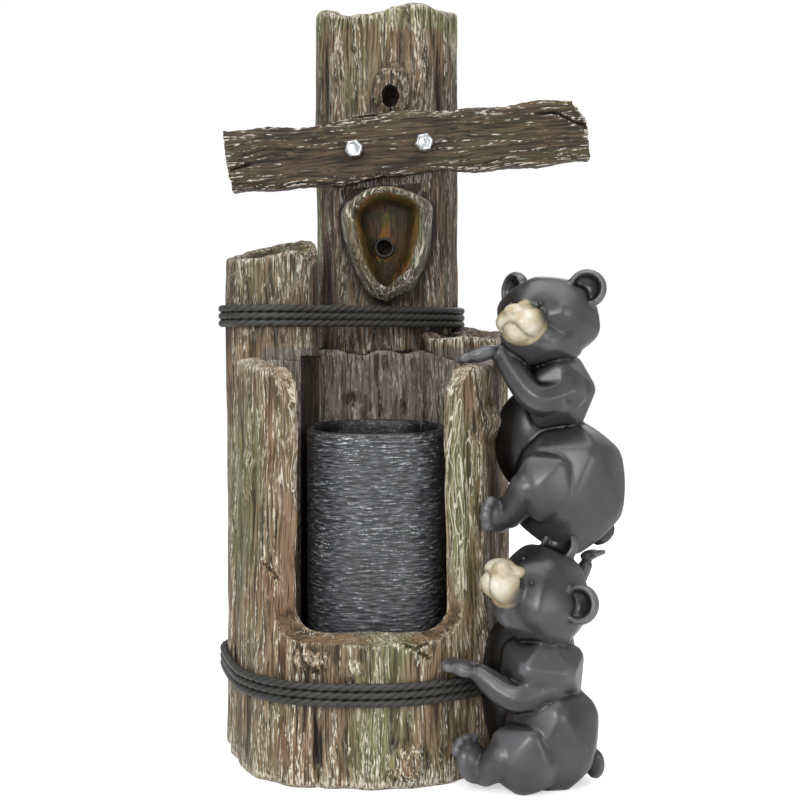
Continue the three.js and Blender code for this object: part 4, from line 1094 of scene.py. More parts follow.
def board_mesh():
    """The plank with its long grain, worn edges, open cracks and ragged ends."""
    mesh = bmesh.new()
    bmesh.ops.create_cube(mesh, size=1)
    bmesh.ops.scale(mesh, verts=mesh.verts, vec=(BOARD_LENGTH, BOARD_THICKNESS, BOARD_HEIGHT))
    cuts = ((0, 2.6, BOARD_LENGTH), (2, 1.9, BOARD_HEIGHT), (1, 5, BOARD_THICKNESS))
    for axis, spacing, extent in cuts:
        count = round(extent / spacing)
        for step in range(1, count):
            spot = [0, 0, 0]
            spot[axis] = -extent / 2 + extent * step / count
            normal = [0, 0, 0]
            normal[axis] = 1
            bmesh.ops.bisect_plane(mesh, geom=mesh.verts[:] + mesh.edges[:] + mesh.faces[:],
                                   plane_co=spot, plane_no=normal)

    half_length, half_height = BOARD_LENGTH / 2, BOARD_HEIGHT / 2

    def place(spot):
        x, y, z = spot
        along, up = x / half_length, z / half_height
        edge = up * abs(up) * (0.34 * math.sin(x / 31 + 2 * up) + 0.22 * math.cos(x / 13))
        edge += 0.16 * up * abs(up) * noise.noise(Vector((x / 7, 0, 3 * up)))
        bow = 0.38 * math.sin(x / 70 + 1)
        right = max(0, (along - 0.93) / 0.07)
        cut_corner = -20 * right * max(0, up) ** 2 * (1 if up > 0.3 else 0.4)
        slanted = 5 * max(0, -along - 0.93) / 0.07 * max(0, -up)
        ragged = 2.2 * noise.noise(Vector((0, y / 6, z / 7 + (9 if along > 0 else 0))))
        ragged = ragged * max(0, abs(along) - 0.97) / 0.03
        side = -1 if y < 0 else 1
        face = max(0.0, 1 - abs(up) ** 6)
        flow = z + 6 * math.sin(x / 60) + 5 * noise.noise(Vector((x / 60, 0, z / 30)))
        grain = 1.6 * math.cos(up * 5 + x / 60) + 0.9 * math.sin(x / 23 + 4 * up)
        grain += 1.5 * (1 - 2 * abs(noise.noise(Vector((x / 90 + 3, 0, flow / 7)))))
        grain += 0.7 * noise.noise(Vector((x / 40, 0, flow / 2.6)))
        crack_z = 18 + 0.28 * (190 - x) + 3 * math.sin(x / 9)
        crack = 5 * bump((z - crack_z) / 2.8) * ease(x, 150, 175)
        split_z = -6 + 4 * math.sin(x / 16)
        split = 6 * bump((z - split_z) / 3) * ease(-x, 185, 200)
        rounding = 2.5 * (abs(up) ** 8) * abs(y) / (BOARD_THICKNESS / 2)
        depth = side * ((grain if side < 0 else 0.4 * grain) * face * 0.8 - rounding)
        depth = depth - side * (crack + split) * face
        if abs(y) < BOARD_THICKNESS * 0.45:
            depth = 0
        rough_end = 0.8 * noise.noise(Vector((x / 9, y / 7, z / 9)))
        return Vector((x + cut_corner + slanted + ragged * (1 if along > 0 else -1),
                       y + depth, z + BOARD_WAVE * (edge + bow) + rough_end * abs(up) ** 8))

    return on_board(reshape(mesh, place))


def board_material():
    """Weathered plank with its grain laid along it, painted shade in its hollows and pale dry brushing."""
    material, g, shader = new_material("Weathered plank", roughness=0.64, specular=0.25)
    turn = (0, math.pi / 2 + BOARD_TILT * DEGREE, 0)
    place = g.node("Mapping", {"Vector": g.place(), "Rotation": turn}).outputs[0]
    grain = use_group(g, WOOD_GRAIN, Place=place, Width=230.0, Wave=0.6)
    base = g.mix(g.span(grain["Streaks"], 0.3, 0.7), colour(32, 25, 18), colour(92, 75, 56))
    base = g.mix(g.span(grain["Blotches"], 0.45, 0.65, 0.0, 0.6), base, colour(72, 70, 46))
    proud, bulk = g.attribute("proud"), g.attribute("bulk")
    # Painted shade in the plank's hollows and cracks; the dark hair lines of the grain take the same colour
    hollow = g.span(proud, -0.2, -1.2, 0.0, 0.8)
    dark = g.math("ADD", g.span(grain["Hairs"], 0.46, 0.34, 0.0, 0.85), hollow, clamp=True)
    base = g.mix(dark, base, colour(26, 21, 17))
    edge = wood_edge(g, grain, proud, bulk, 0.1)
    speck = g.span(g.noise(g.scaled(place, (1, 1, 0.3)), 430.0, 2.0), 0.42, 0.56, 0.1, 1.0)
    threads = g.math("MULTIPLY", g.math("MULTIPLY", grain["Threads"], g.span(edge, 0.26, 0.72)), speck)
    base = g.mix(g.math("MULTIPLY", g.span(threads, 0.18, 0.66), 0.85), base, colour(210, 203, 190))
    g.feed(shader.inputs["Base Color"], base)
    wood_bump(g, shader, grain, 0.6)
    return material


def bolt_piece(name, node):
    """Chamfered hex head on its washer face, with the shank behind it."""
    low, high = node_box(node)
    x, z = (low.x + high.x) / 2, (low.z + high.z) / 2
    head_radius, head_height = 11.5, 8
    profile = [(0, 0.6), (7, 0.6), (7.8, 0), (10, 0), (head_radius, 1.5), (head_radius, head_height - 1),
               (head_radius - 0.6, head_height), (0, head_height)]
    mesh = spun(profile, 6)
    turn = Matrix.Rotation(12 * DEGREE, 3, "Z")
    bmesh.ops.rotate(mesh, verts=mesh.verts, cent=(0, 0, 0), matrix=turn)
    reshape(mesh, lambda spot: Vector((x + spot.x, low.y + spot.z, z + spot.y)))
    corners = [edge for edge in mesh.edges if edge.calc_face_angle(0) > 0.6]
    bmesh.ops.bevel(mesh, geom=corners, offset=0.35, segments=2, affect="EDGES", profile=0.5,
                    material=-1, offset_type="OFFSET")
    shank = spun([(0, 0), (5, 0), (5, 1), (0, 1)], 24)
    start = low.y + head_height - 1
    reach = high.y - start
    reshape(shank, lambda spot: Vector((x + spot.x, start + reach * spot.z, z + spot.y)))
    add_mesh(mesh, shank)
    return shade_smooth(piece_object(name, mesh), 30)


def zinc_material():
    """Zinc plated bolts with a faint spangle."""
    material, g, shader = new_material("Zinc plate", roughness=0.34, metallic=1.0, specular=0.5)
    place = g.place()
    spots = g.noise(place, 220.0, 3.0)
    base = g.mix(g.span(spots, 0.35, 0.7), colour(150, 152, 154), colour(214, 216, 218))
    g.feed(shader.inputs["Base Color"], base)
    g.feed(shader.inputs["Roughness"], g.span(spots, 0.3, 0.7, 0.28, 0.46))
    rough_bump(g, shader, spots, 0.15, 0.0004)
    return material


def tube_piece():
    """Hose end with its bore and rounded lip, open at both ends."""
    low, high = node_box("outlet_tube")
    centre = (low + high) / 2
    radius = (high.x - low.x) / 2
    bore = radius - 3
    length = high.y - low.y
    profile = [(bore + 0.6, 0), (radius - 0.8, 0), (radius, 0.8), (radius, length), (bore, length),
               (bore, 0.8), (bore + 0.6, 0)]
    mesh = spun(profile, 48)
    reshape(mesh, lambda spot: Vector((centre.x + spot.x, low.y + spot.z, centre.z + spot.y)))
    return shade_smooth(piece_object("hose_end", mesh), 35)


def hose_material():
    """Black rubber with a little dust."""
    material, g, shader = new_material("Black hose", roughness=0.5, specular=0.4)
    place = g.place()
    dust = g.noise(place, 140.0, 3.0)
    base = g.mix(g.span(dust, 0.4, 0.75), colour(14, 14, 15), colour(46, 46, 44))
    g.feed(shader.inputs["Base Color"], base)
    rough_bump(g, shader, dust, 0.2, 0.0005)
    return material


# The cubs, each modelled in its own frame: x forwards to the stump, y its left and z up

def facing(forward, up):
    """Matrix of a head or paw from the way it faces and the way its top points."""
    x = Vector(forward).normalized()
    y = Vector(up).cross(x).normalized()
    z = x.cross(y)
    return Matrix((x, y, z)).transposed().to_4x4()


def facet_directions():
    """The twenty ways that the broad flat planes of a carved mass face."""
    mesh = bmesh.new()
    bmesh.ops.create_icosphere(mesh, subdivisions=1, radius=1)
    mesh.faces.ensure_lookup_table()
    directions = np.array([face.normal[:] for face in mesh.faces])
    mesh.free()
    return directions


BROAD_FACETS = facet_directions()


def carved_mass(centre, radii, turn=None, amount=0.5, sharpness=60, seed=0):
    """Rounded mass whose surface falls into soft flat planes, as if carved."""
    mesh = ball((0, 0, 0), (1, 1, 1), fineness=5)
    spin = Matrix.Rotation(0.9 * seed + 0.3, 3, Vector((0.3, 0.5, 1)).normalized())
    planes = BROAD_FACETS @ np.array(spin).T
    for vert in mesh.verts:
        direction = np.array(vert.co)
        lean = np.clip(planes @ direction, 0, None)
        size = float((lean ** sharpness).sum() ** (-1 / sharpness))
        vert.co *= (1 - amount) + amount * min(1.12, size * 0.965)
    bmesh.ops.scale(mesh, verts=mesh.verts, vec=radii)
    if turn:
        bmesh.ops.transform(mesh, verts=mesh.verts, matrix=turn)
    bmesh.ops.translate(mesh, verts=mesh.verts, vec=centre)
    return mesh


def curve_spot(before, here, there, after, t):
    """Place at share t between two points of a smooth curve, given their neighbours."""
    return 0.5 * (2 * here + (there - before) * t + (2 * before - 5 * here + 4 * there - after) * t ** 2
                  + (3 * here - before - 3 * there + after) * t ** 3)


def limb_mesh(points, radii, sides=28):
    """Tapered limb bent smoothly through a few points, rounded at both ends."""
    steps = 12
    path = [Vector(point) for point in points]
    line, sizes = [], []
    for index in range(len(path) - 1):
        before = path[max(index - 1, 0)]
        after = path[min(index + 2, len(path) - 1)]
        here, there = path[index], path[index + 1]
        for step in range(steps + (index == len(path) - 2)):
            t = step / steps
            line.append(curve_spot(before, here, there, after, t))
            sizes.append(radii[index] + (radii[index + 1] - radii[index]) * t)
    first = (line[0] - line[1]).normalized()
    last = (line[-1] - line[-2]).normalized()
    caps = (0.95, 0.8, 0.55, 0.28)
    start = [(line[0] + first * radii[0] * cap, radii[0] * math.sqrt(1 - cap * cap)) for cap in caps]
    end = [(line[-1] + last * radii[-1] * cap, radii[-1] * math.sqrt(1 - cap * cap))
           for cap in reversed(caps)]
    rings = start + list(zip(line, sizes)) + end
    profile = [(0, 0)] + [(1, index + 1) for index in range(len(rings))] + [(0, len(rings) + 1)]
    mesh = spun(profile, sides)
    side = None
    frames = []
    for index in range(len(rings)):
        along = (rings[min(index + 1, len(rings) - 1)][0] - rings[max(index - 1, 0)][0]).normalized()
        side = Vector((0, 0, 1)).cross(along).normalized() if side is None else side
        side = (side - along * side.dot(along)).normalized()
        frames.append((side, along.cross(side)))

    def place(spot):
        index = round(spot.z)
        if index == 0:
            return rings[0][0] + first * radii[0] * 0.05
        if index > len(rings):
            return rings[-1][0] + last * radii[-1] * 0.05
        centre, size = rings[index - 1]
        across, up = frames[index - 1]
        return centre + across * (size * spot.x) + up * (size * spot.y)

    return reshape(mesh, place)


def moved(mesh, turn, centre):
    """Turns a mesh about its own middle and carries it to its place."""
    bmesh.ops.transform(mesh, verts=mesh.verts, matrix=turn)
    bmesh.ops.translate(mesh, verts=mesh.verts, vec=centre)
    return mesh


def ear_mesh(side, spot, direction):
    """Thick curled rim round a smooth dish that faces forwards and out."""
    profile = [(0, -11), (10, -10.8), (16, -9), (20.5, -4), (22, 0), (21, 5), (18.5, 8), (16.6, 8),
               (15.2, 5.5), (14, 2.8), (11.5, 0.6), (8, -0.9), (4, -1.7), (0, -2)]
    mesh = spun(profile, 40)
    turn = facing(direction, (0, 0.35 * side, 1)) @ Matrix.Rotation(math.pi / 2, 4, "Y")
    return moved(mesh, turn, (spot[0], spot[1] * side, spot[2]))


def paw_parts(paw):
    """Flat palm with separate rounded toes or fingers along its front."""
    length, width, height = paw["size"]
    turn = facing(paw["forward"], paw["up"])
    parts = [moved(ball((0, 0, 0), (length * 0.8, width, height), fineness=4), turn, paw["centre"])]
    count = paw.get("count", 4)
    for toe in range(count):
        lean = (toe - (count - 1) / 2) / ((count - 1) / 2)
        reach = length * (0.86 - 0.16 * abs(lean) ** 2)
        size = width * paw["toe"]
        digit = ball((reach, paw["spread"] * width * lean * 1.15, 0), (size * paw["long"], size, size),
                     Matrix.Rotation(0.3 * lean, 4, "Z"), fineness=3)
        parts.append(moved(digit, turn, paw["centre"]))
    return parts


def muzzle_mesh():
    """Blunt muzzle, flatter above, with the two full sides of the upper lip."""
    mesh = ball((0, 0, 0), (31, 29, 20), fineness=5)

    def place(spot):
        lip = 2.5 * bump((spot.z + 2) / 15) * bump((abs(spot.y) - 15) / 14)
        return Vector((48 + spot.x + lip, spot.y * (1 + 0.004 * spot.x), spot.z - 3 - 0.06 * spot.x))

    return reshape(mesh, place)


def head_parts(head):
    """Skull, jaw, muzzle, chin, nose, bridge and ears."""
    turn = facing(head["forward"], head["up"])
    parts = [
        carved_mass((0, 0, 0), (53, 57, 48), amount=0.5, seed=1),
        carved_mass((10, 0, -16), (47, 49, 34), amount=0.8, seed=2),
        muzzle_mesh(),
        ball((55, 0, -15), (24, 15, 13)),
        ball((68, 0, 6), (12, 13, 10)),
        ball((48, 0, 12), (20, 8, 8), Matrix.Rotation(0.35, 4, "Y")),
    ]
    for side in (-1, 1):
        parts.append(ear_mesh(side, head["ears"], head["ear_facing"][side > 0]))
    return [moved(part, turn, head["centre"]) for part in parts]


def cub_mesh(pose):
    """All masses of a cub, still overlapping."""
    parts = [
        carved_mass(pose["belly"], pose["belly_size"], amount=0.6, seed=3),
        carved_mass(pose["chest"], pose["chest_size"], amount=1.0, sharpness=120,
                    seed=pose["chest_seed"]),
        # Front mass that fills the space towards the stump; painted shade makes it nearly black
        ball(pose["front"], pose["front_size"]),
        ball(pose["tail"], (12, 7, 17), facing(pose["tail_forward"], (0, 0, 1)), 3),
    ]
    parts += head_parts(pose["head"])
    for arm in pose["arms"]:
        parts.append(limb_mesh(arm["joints"], arm["radii"], sides=8))
        parts += paw_parts(arm["paw"])
    for leg in pose["legs"]:
        turn = facing(leg["thigh_forward"], (0, 0, 1))
        parts.append(carved_mass(leg["thigh"], leg["thigh_size"], turn, amount=0.6, seed=5))
        parts.append(limb_mesh([leg["knee"], leg["ankle"]], [22, 15]))
        parts += paw_parts(leg["paw"])
    whole = bmesh.new()
    for part in parts:
        add_mesh(whole, part)
    return whole


def mirrored(point):
    return (point[0], -point[1], point[2])


def other_side(limb):
    """The same limb on the cub's right."""
    copy = dict(limb)
    copy["paw"] = dict(limb["paw"])
    for key in ("centre", "forward", "up"):
        copy["paw"][key] = mirrored(limb["paw"][key])
    for key in ("thigh", "thigh_forward", "knee", "ankle"):
        if key in copy:
            copy[key] = mirrored(copy[key])
    if "joints" in copy:
        copy["joints"] = [mirrored(point) for point in copy["joints"]]
    return copy


# Poses in millimetres: every limb and mass by its place, size and the way it faces

UPPER_ARM = dict(
    joints=[(-84, 24, -34), (-52, 43, -40), (-13, 32, 6)], radii=[23, 18, 12],
    paw=dict(centre=(8, 40, 7), forward=(1, 0.35, -0.25), up=(0.2, 0, 1), size=(27, 13, 9),
             toe=0.42, long=1.7, spread=0.5, count=3),
)
UPPER_LEG = dict(
    thigh=(-66, 45, -138), thigh_size=(36, 24, 38), thigh_forward=(1, 0.2, 0.3),
    knee=(-46, 50, -142), ankle=(-24, 42, -172),
    paw=dict(centre=(-13, 46, -172), forward=(0.5, 0.86, 0.2), up=(-1, 0.5, 0), size=(26, 20, 12),
             toe=0.36, long=0.9, spread=0.56),
)
UPPER_CUB = dict(
    angle=-17, height=STUMP_HEIGHT, belly=(-82, 0, -141), belly_size=(63, 57, 73), chest=(-69, 4, -36),
    chest_size=(40, 44, 42), chest_seed=1, front=(-38, -6, -92), front_size=(42, 34, 60),
    head=dict(centre=(-60, 9, 46), forward=(0.36, 0.93, 0), up=(0, 0, 1), ears=(-5, 47, 33),
              ear_facing=((0.92, -0.38, 0.1), (0.92, 0.38, 0.1)), eye=(46, 19, 15.5)),
    tail=(-119, -12, -195), tail_forward=(-0.7, 0, -0.7),
    arms=[UPPER_ARM, other_side(UPPER_ARM)], legs=[UPPER_LEG, other_side(UPPER_LEG)],
)
LOWER_ARM = dict(
    joints=[(-90, 22, 112), (-62, 49, 104), (-28, 58, 124)], radii=[23, 18, 12],
    paw=dict(centre=(-10, 62, 130), forward=(1, 0.3, 0.2), up=(-0.3, 0.1, 1), size=(22, 15, 9),
             toe=0.36, long=1.5, spread=0.55),
)
RAISED_ARM = dict(
    joints=[(-80, -30, 130), (-59, -77, 170), (-89, -77, 229)], radii=[20, 14, 8],
    paw=dict(centre=(-95, -76, 242), forward=(-1, 0.1, 0.25), up=(0.3, 0, 1), size=(15, 12, 6),
             toe=0.3, long=1.5, spread=0.62),
)
LOWER_LEG = dict(
    thigh=(-74, 45, 38), thigh_size=(40, 26, 38), thigh_forward=(1, 0.3, 0.1),
    knee=(-56, 56, 38), ankle=(-36, 62, 20),
    paw=dict(centre=(-22, 66, 30), forward=(0.35, 0.2, 0.9), up=(-1, 0.4, 0.1), size=(30, 19, 13),
             toe=0.36, long=0.9, spread=0.56),
)
LOWER_CUB = dict(
    angle=-32, height=0, belly=(-84, 2, 54), belly_size=(52, 52, 62), chest=(-75, 6, 124),
    chest_size=(44, 44, 42), chest_seed=2, front=(-38, -4, 100), front_size=(42, 34, 84),
    head=dict(centre=(-72, -2, 205), forward=(0.37, 0.84, 0.42), up=(-0.72, 0.06, 0.69), ears=(-3, 42, 40),
              ear_facing=((0.92, 0.2, 0.3), (0.92, 0.38, 0.1)), eye=(46, 17.5, 20.8)),
    tail=(-124, -26, 21), tail_forward=(-1, 0, 0),
    arms=[LOWER_ARM, RAISED_ARM], legs=[LOWER_LEG, other_side(LOWER_LEG)],
)

VOXEL = 1.9
FLOOR_CLEARANCE = 0.3


def cling_matrix(pose):
    """Place of a cub against the stump at its angle and height."""
    angle = pose["angle"] * DEGREE
    out = Vector((math.cos(angle), math.sin(angle), 0))
    forward = -out
    left = Vector((0, 0, 1)).cross(forward)
    matrix = Matrix((forward, left, Vector((0, 0, 1)))).transposed().to_4x4()
    matrix.translation = out * STUMP["base"] + Vector((0, 0, pose["height"]))
    return matrix


def fused(piece, voxel, rounds, share):
    """Fuses overlapping masses into one skin and softens the joins a little."""
    remesh = piece.modifiers.new("fuse", "REMESH")
    remesh.mode = "VOXEL"
    remesh.voxel_size = voxel
    soften = piece.modifiers.new("soften", "SMOOTH")
    soften.iterations = rounds
    soften.factor = share
    return apply_modifiers(piece)


def trim_below(piece, level):
    """Cuts off what lies below a level and closes the cut."""
    mesh = bmesh.new()
    mesh.from_mesh(piece.data)
    bmesh.ops.bisect_plane(mesh, geom=mesh.verts[:] + mesh.edges[:] + mesh.faces[:],
                           plane_co=(0, 0, level), plane_no=(0, 0, 1), clear_inner=True)
    rim = [edge for edge in mesh.edges if edge.is_boundary]
    if rim:
        bmesh.ops.triangle_fill(mesh, edges=rim, use_beauty=True)
    mesh.to_mesh(piece.data)
    mesh.free()


def cub_piece(name, pose):
    """A whole cub, fused, trimmed flat on the ground, with its face and paint zones."""
    mesh = cub_mesh(pose)
    bmesh.ops.transform(mesh, verts=mesh.verts, matrix=cling_matrix(pose))
    piece = fused(piece_object(name, mesh, 1), VOXEL, 3, 0.5)
    trim_below(piece, FLOOR_CLEARANCE)
    from_head = (cling_matrix(pose) @ Matrix.Translation(pose["head"]["centre"])
                 @ facing(pose["head"]["forward"], pose["head"]["up"]))
    carve_mouth(piece, from_head)
    add_eyes(piece, from_head, pose["head"]["eye"])
    piece.data.transform(Matrix.Scale(MM, 4))
    shade_smooth(piece)
    paint_relief(piece, 8, 60, 0.5, 3.0)
    paint_face(piece, np.array(from_head.inverted()), pose["head"]["eye"])
    paint_shade(piece, pose)
    return piece


# Half of the mouth line as (side, height) in the head's frame, from under the nose
MOUTH = ((0, -4), (5, -5.5), (9, -8.5), (12.5, -13.5), (13.8, -19))


def mouth_distance(y, z):
    """Distance of places on the muzzle's front from the mouth line."""
    nearest = np.full(len(y), 99.0)
    for (ay, az), (by, bz) in zip(MOUTH, MOUTH[1:]):
        length = (by - ay) ** 2 + (bz - az) ** 2
        along = np.clip(((np.abs(y) - ay) * (by - ay) + (z - az) * (bz - az)) / length, 0, 1)
        away = np.hypot(np.abs(y) - ay - along * (by - ay), z - az - along * (bz - az))
        nearest = np.minimum(nearest, away)
    return nearest


def carve_mouth(piece, from_head):
    """Presses the mouth line into the fused muzzle."""
    to_head = from_head.inverted()
    for vert in piece.data.vertices:
        spot = to_head @ vert.co
        if spot.x > 48 and abs(spot.y) < 20 and -30 < spot.z < 2:
            away = mouth_distance(np.array([spot.y]), np.array([spot.z]))[0]
            spot.x -= 2.6 * bump(away / 4)
            vert.co = from_head @ spot


def add_eyes(piece, from_head, eye):
    """Sets a small ball for each eye on the fused head."""
    tree = BVHTree.FromPolygons([vert.co for vert in piece.data.vertices],
                                [face.vertices for face in piece.data.polygons])
    whole = bmesh.new()
    whole.from_mesh(piece.data)
    back = (from_head.to_3x3() @ Vector((-1, 0, 0))).normalized()
    for side in (-1, 1):
        start = from_head @ Vector((eye[0] + 80, side * eye[1], eye[2]))
        spot = tree.ray_cast(start, back)[0]
        if spot:
            add_mesh(whole, ball(spot + back * 0.6, (3, 3, 3), fineness=3))
    whole.to_mesh(piece.data)
    whole.free()


def in_frame(piece, matrix):
    """Places of the vertices as (x, y, z) arrays in another frame."""
    places = positions(piece)
    return (matrix @ np.c_[places, np.ones(len(places))].T)[:3]


def paint_face(piece, to_head, eye):
    """Marks the cream muzzle, its mouth line and the dark patches round the eyes."""
    x, y, z = in_frame(piece, to_head)
    from_eye = np.hypot(np.abs(y) - eye[1], z - eye[2])
    near = (x > 20) & (np.hypot(y, z) < 50)
    muzzle = np.hypot(np.hypot(y / 27, (z + 6) / 22), np.minimum(0, (x - 48)) / 13)
    muzzle = np.minimum(muzzle, np.hypot(np.hypot(y / 9, (z - 8) / 12), np.minimum(0, (x - 50)) / 20))
    muzzle += np.clip(2 - from_eye / 5, 0, 1) * (x < 53)
    paint(piece, "muzzle", np.where(near, np.clip(1.1 - muzzle, -1, 1) * 5, -1))
    away = mouth_distance(y, z)
    paint(piece, "mouth", np.where(x > 48, np.clip(1.1 - away / 1.7, 0, 1) * 0.8, 0))
    nostril = np.clip(1.4 - np.hypot((np.abs(y) - 5) / 3, (z - 5) / 2.4), 0, 1) * (x > 70)
    paint(piece, "nostril", nostril * 0.3)
    patch = np.clip(1.25 - np.hypot((np.abs(y) - eye[1] - 3) / 15, (z - eye[2] - 1) / 14), 0, 1)
    ring = np.clip(2.4 - from_eye / 2.6, 0, 1)
    paint(piece, "patch", np.where(x > 15, np.clip(patch * 2, 0, 0.8), 0))
    ball_share = np.clip(1.6 - from_eye / 2.0, 0, 1)
    paint(piece, "ring", np.where(x > 30, ring * (1 - ball_share), 0))


# Direction that the cubs' planes with a painted highlight face
HIGHLIGHT_PLANE_FACING = (-0.35, -0.87, 0.35)


def paint_shade(piece, pose):
    """Marks the body's planes for a painted highlight, and the painted shade, nearly black, between the cub
    and the stump.
    """
    spots = in_frame(piece, np.array(cling_matrix(pose).inverted())).T
    reach = np.linalg.norm((spots - np.array(pose["front"])) / np.array(pose["front_size"]), axis=1)
    lit = normals(piece) @ np.array(HIGHLIGHT_PLANE_FACING)
    paint(piece, "highlight_plane", np.clip((lit - 0.93) / 0.035, 0, 1))
    # Painted shade round the front mass, between the cub and the stump
    paint(piece, "shade", np.clip((1.12 - reach) / 0.08, 0, 1))


def cub_material():
    """Satin charcoal with the cream muzzle, the eyes, painted highlights on planes and bulges, painted shade
    in the creases and painted shade, nearly black, on the inner side.
    """
    material, g, shader = new_material("Charcoal resin", roughness=0.34, specular=0.6)
    place = g.place()
    cloud = g.noise(place, 16.0, 3.0)
    scuff = g.noise(g.scaled(place, (1, 1, 0.6)), 120.0, 3.0, 0.6)
    base = g.mix(g.span(cloud, 0.35, 0.65), colour(44, 44, 46), colour(62, 62, 64))
    bulk = g.attribute("bulk")
    # Painted highlight: lighter grey on the flat planes that face one fixed direction
    base = g.mix(g.math("MULTIPLY", g.attribute("highlight_plane"), 0.2), base, colour(124, 124, 128))
    # Painted shade: near black in the creases and where the masses meet
    base = g.mix(g.span(bulk, 0.05, -0.5, 0.0, 0.98), base, colour(4, 4, 5))
    # Painted highlight: lighter grey on the bulging masses
    base = g.mix(g.span(bulk, 0.3, 1.1, 0.0, 0.35), base, colour(128, 128, 132))
    base = g.mix(g.span(scuff, 0.62, 0.8, 0.0, 0.2), base, colour(130, 130, 132))
    base = g.mix(g.attribute("patch"), base, colour(26, 26, 27))
    # Painted shade, nearly black, between the cub and the stump
    base = g.mix(g.attribute("shade"), base, colour(4, 4, 5))
    cream = g.mix(g.span(g.noise(place, 45.0, 3.0), 0.35, 0.65), colour(176, 160, 130), colour(208, 202, 188))
    cream = g.mix(g.span(g.noise(place, 24.0, 2.0), 0.5, 0.75), cream, colour(150, 130, 88))
    # Painted shade: darker cream in the creases of the muzzle
    cream = g.mix(g.span(bulk, 0.0, -0.8, 0.0, 0.7), cream, colour(96, 84, 60))
    cream = g.mix(g.span(g.attribute("muzzle"), 1.3, 0.2, 0.0, 0.75), cream, colour(138, 122, 86))
    cream = g.mix(g.math("MAXIMUM", g.attribute("mouth"), g.attribute("nostril")), cream, colour(88, 74, 56))
    muzzle = g.span(g.math("ADD", g.attribute("muzzle"), g.math("MULTIPLY", cloud, 0.3)), 0.05, 0.6)
    base = g.mix(muzzle, base, cream)
    base = g.mix(g.attribute("ring"), base, colour(6, 6, 7))
    g.feed(shader.inputs["Base Color"], base)
    rough_bump(g, shader, scuff, 0.12, 0.0006)
    return material


# Floor, light and camera

# Share of a white world's light that falls on the fountain
WORLD_LIGHT = 0.5
# Camera: focal length in pixels of a picture 800 wide, place in metres and pitch in degrees
PHOTO_WIDTH = 800
CAMERA_FOCAL_PIXELS = 1359.1
CAMERA_PLACE = (0.038, -1.5968, 0.48275)
CAMERA_PITCH = 2.4597
SENSOR_WIDTH = 36
# Grey of the floor, which the camera sees as white
FLOOR_SHADE = 0.96


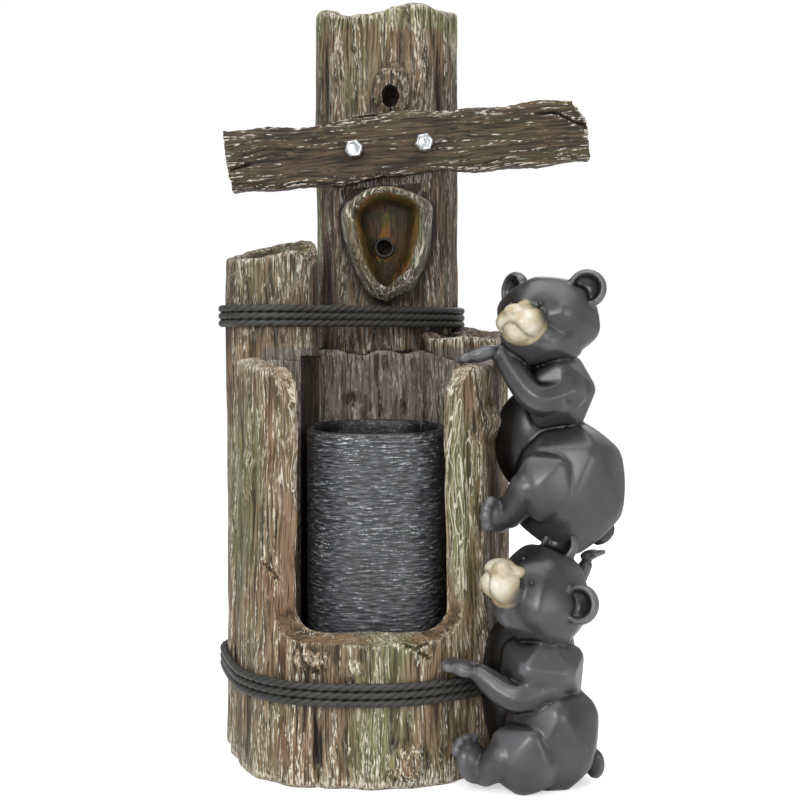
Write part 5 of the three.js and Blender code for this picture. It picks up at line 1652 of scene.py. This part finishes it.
def studio():
    """White world and floor, four soft lights and the camera. Only the camera sees them as white."""
    world = bpy.data.worlds.new("Studio")
    bpy.context.scene.world = world
    world.use_nodes = True
    sky = world.node_tree.nodes["Background"]
    sky.inputs["Color"].default_value = (1, 1, 1, 1)
    seen = world.node_tree.nodes.new("ShaderNodeLightPath").outputs["Is Camera Ray"]
    level = world.node_tree.nodes.new("ShaderNodeMapRange")
    level.inputs["To Min"].default_value = WORLD_LIGHT
    level.inputs["To Max"].default_value = 1.0
    world.node_tree.links.new(seen, level.inputs["Value"])
    world.node_tree.links.new(level.outputs["Result"], sky.inputs["Strength"])
    bpy.context.scene.view_settings.view_transform = "Standard"
    for name, spot, aim, size, power in (
        ("key", (-0.75, -2.5, 1.5), (0.02, 0, 0.45), 0.9, 34),
        ("fill", (1.3, -2.4, 0.9), (0.02, 0, 0.45), 1.0, 14),
        ("top", (0.0, -0.3, 3.4), (0.0, 0.0, 0.0), 3.0, 70),
        ("rim", (0.9, 2.2, 1.9), (0.02, 0.1, 0.5), 1.2, 10),
    ):
        data = bpy.data.lights.new(name, "AREA")
        data.size = size
        data.energy = power
        lamp = bpy.data.objects.new(name, data)
        lamp.location = spot
        lamp.rotation_euler = (Vector(aim) - Vector(spot)).to_track_quat("-Z", "Y").to_euler()
        bpy.context.scene.collection.objects.link(lamp)

    floor_mesh = bmesh.new()
    bmesh.ops.create_grid(floor_mesh, x_segments=1, y_segments=1, size=30)
    floor = piece_object("floor", floor_mesh, 1)
    material, g, shader = new_material("Pale floor", roughness=0.8, specular=0.1)
    shader.inputs["Base Color"].default_value = (FLOOR_SHADE, FLOOR_SHADE, FLOOR_SHADE, 1)
    shader.inputs["Emission Color"].default_value = (1, 1, 1, 1)
    seen = g.node("LightPath").outputs["Is Camera Ray"]
    g.feed(shader.inputs["Emission Strength"], g.math("MULTIPLY", seen, 1 - FLOOR_SHADE * WORLD_LIGHT))
    floor.data.materials.append(material)

    camera_data = bpy.data.cameras.new("camera")
    camera_data.sensor_width = SENSOR_WIDTH
    camera_data.lens = CAMERA_FOCAL_PIXELS * SENSOR_WIDTH / PHOTO_WIDTH
    camera = bpy.data.objects.new("camera", camera_data)
    camera.location = CAMERA_PLACE
    camera.rotation_euler = (math.pi / 2 - CAMERA_PITCH * DEGREE, 0, 0)
    bpy.context.scene.collection.objects.link(camera)
    bpy.context.scene.camera = camera


def finish_piece(piece, node, material):
    """Gives a piece its material, hangs it under the root and hides the node it stands for."""
    piece.data.materials.clear()
    piece.data.materials.append(material)
    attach(piece, "root")
    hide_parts(node)


studio()

logs = shade_smooth(log_body(), 50)
paint_relief(logs)
paint_zones(logs)
finish_piece(logs, "log_body", bark_material())

vessel = shade_smooth(piece_object("cascade_bucket", vessel_mesh()), 60)
paint_relief(vessel, 5, 30, 0.3, 1.5)
paint_vessel_lip(vessel)
finish_piece(vessel, "cascade_vessel", slate_material())

rope_finish = rope_material()
for node, bound in (("upper_rope", (LEFT_LOG, TRUNK)), ("lower_rope", LOGS)):
    finish_piece(rope_piece(node + "_turns", node, bound), node, rope_finish)

board = shade_smooth(piece_object("plank", board_mesh()), 50)
paint_relief(board, 4, 30, 0.4, 2.0)
finish_piece(board, "crossboard", board_material())

zinc = zinc_material()
for side in ("left", "right"):
    node = "bolt_" + side
    finish_piece(bolt_piece("hex_" + node, node), node, zinc)
finish_piece(tube_piece(), "outlet_tube", hose_material())

charcoal = cub_material()
finish_piece(cub_piece("upper_bear", UPPER_CUB), "upper_cub", charcoal)
finish_piece(cub_piece("lower_bear", LOWER_CUB), "lower_cub", charcoal)
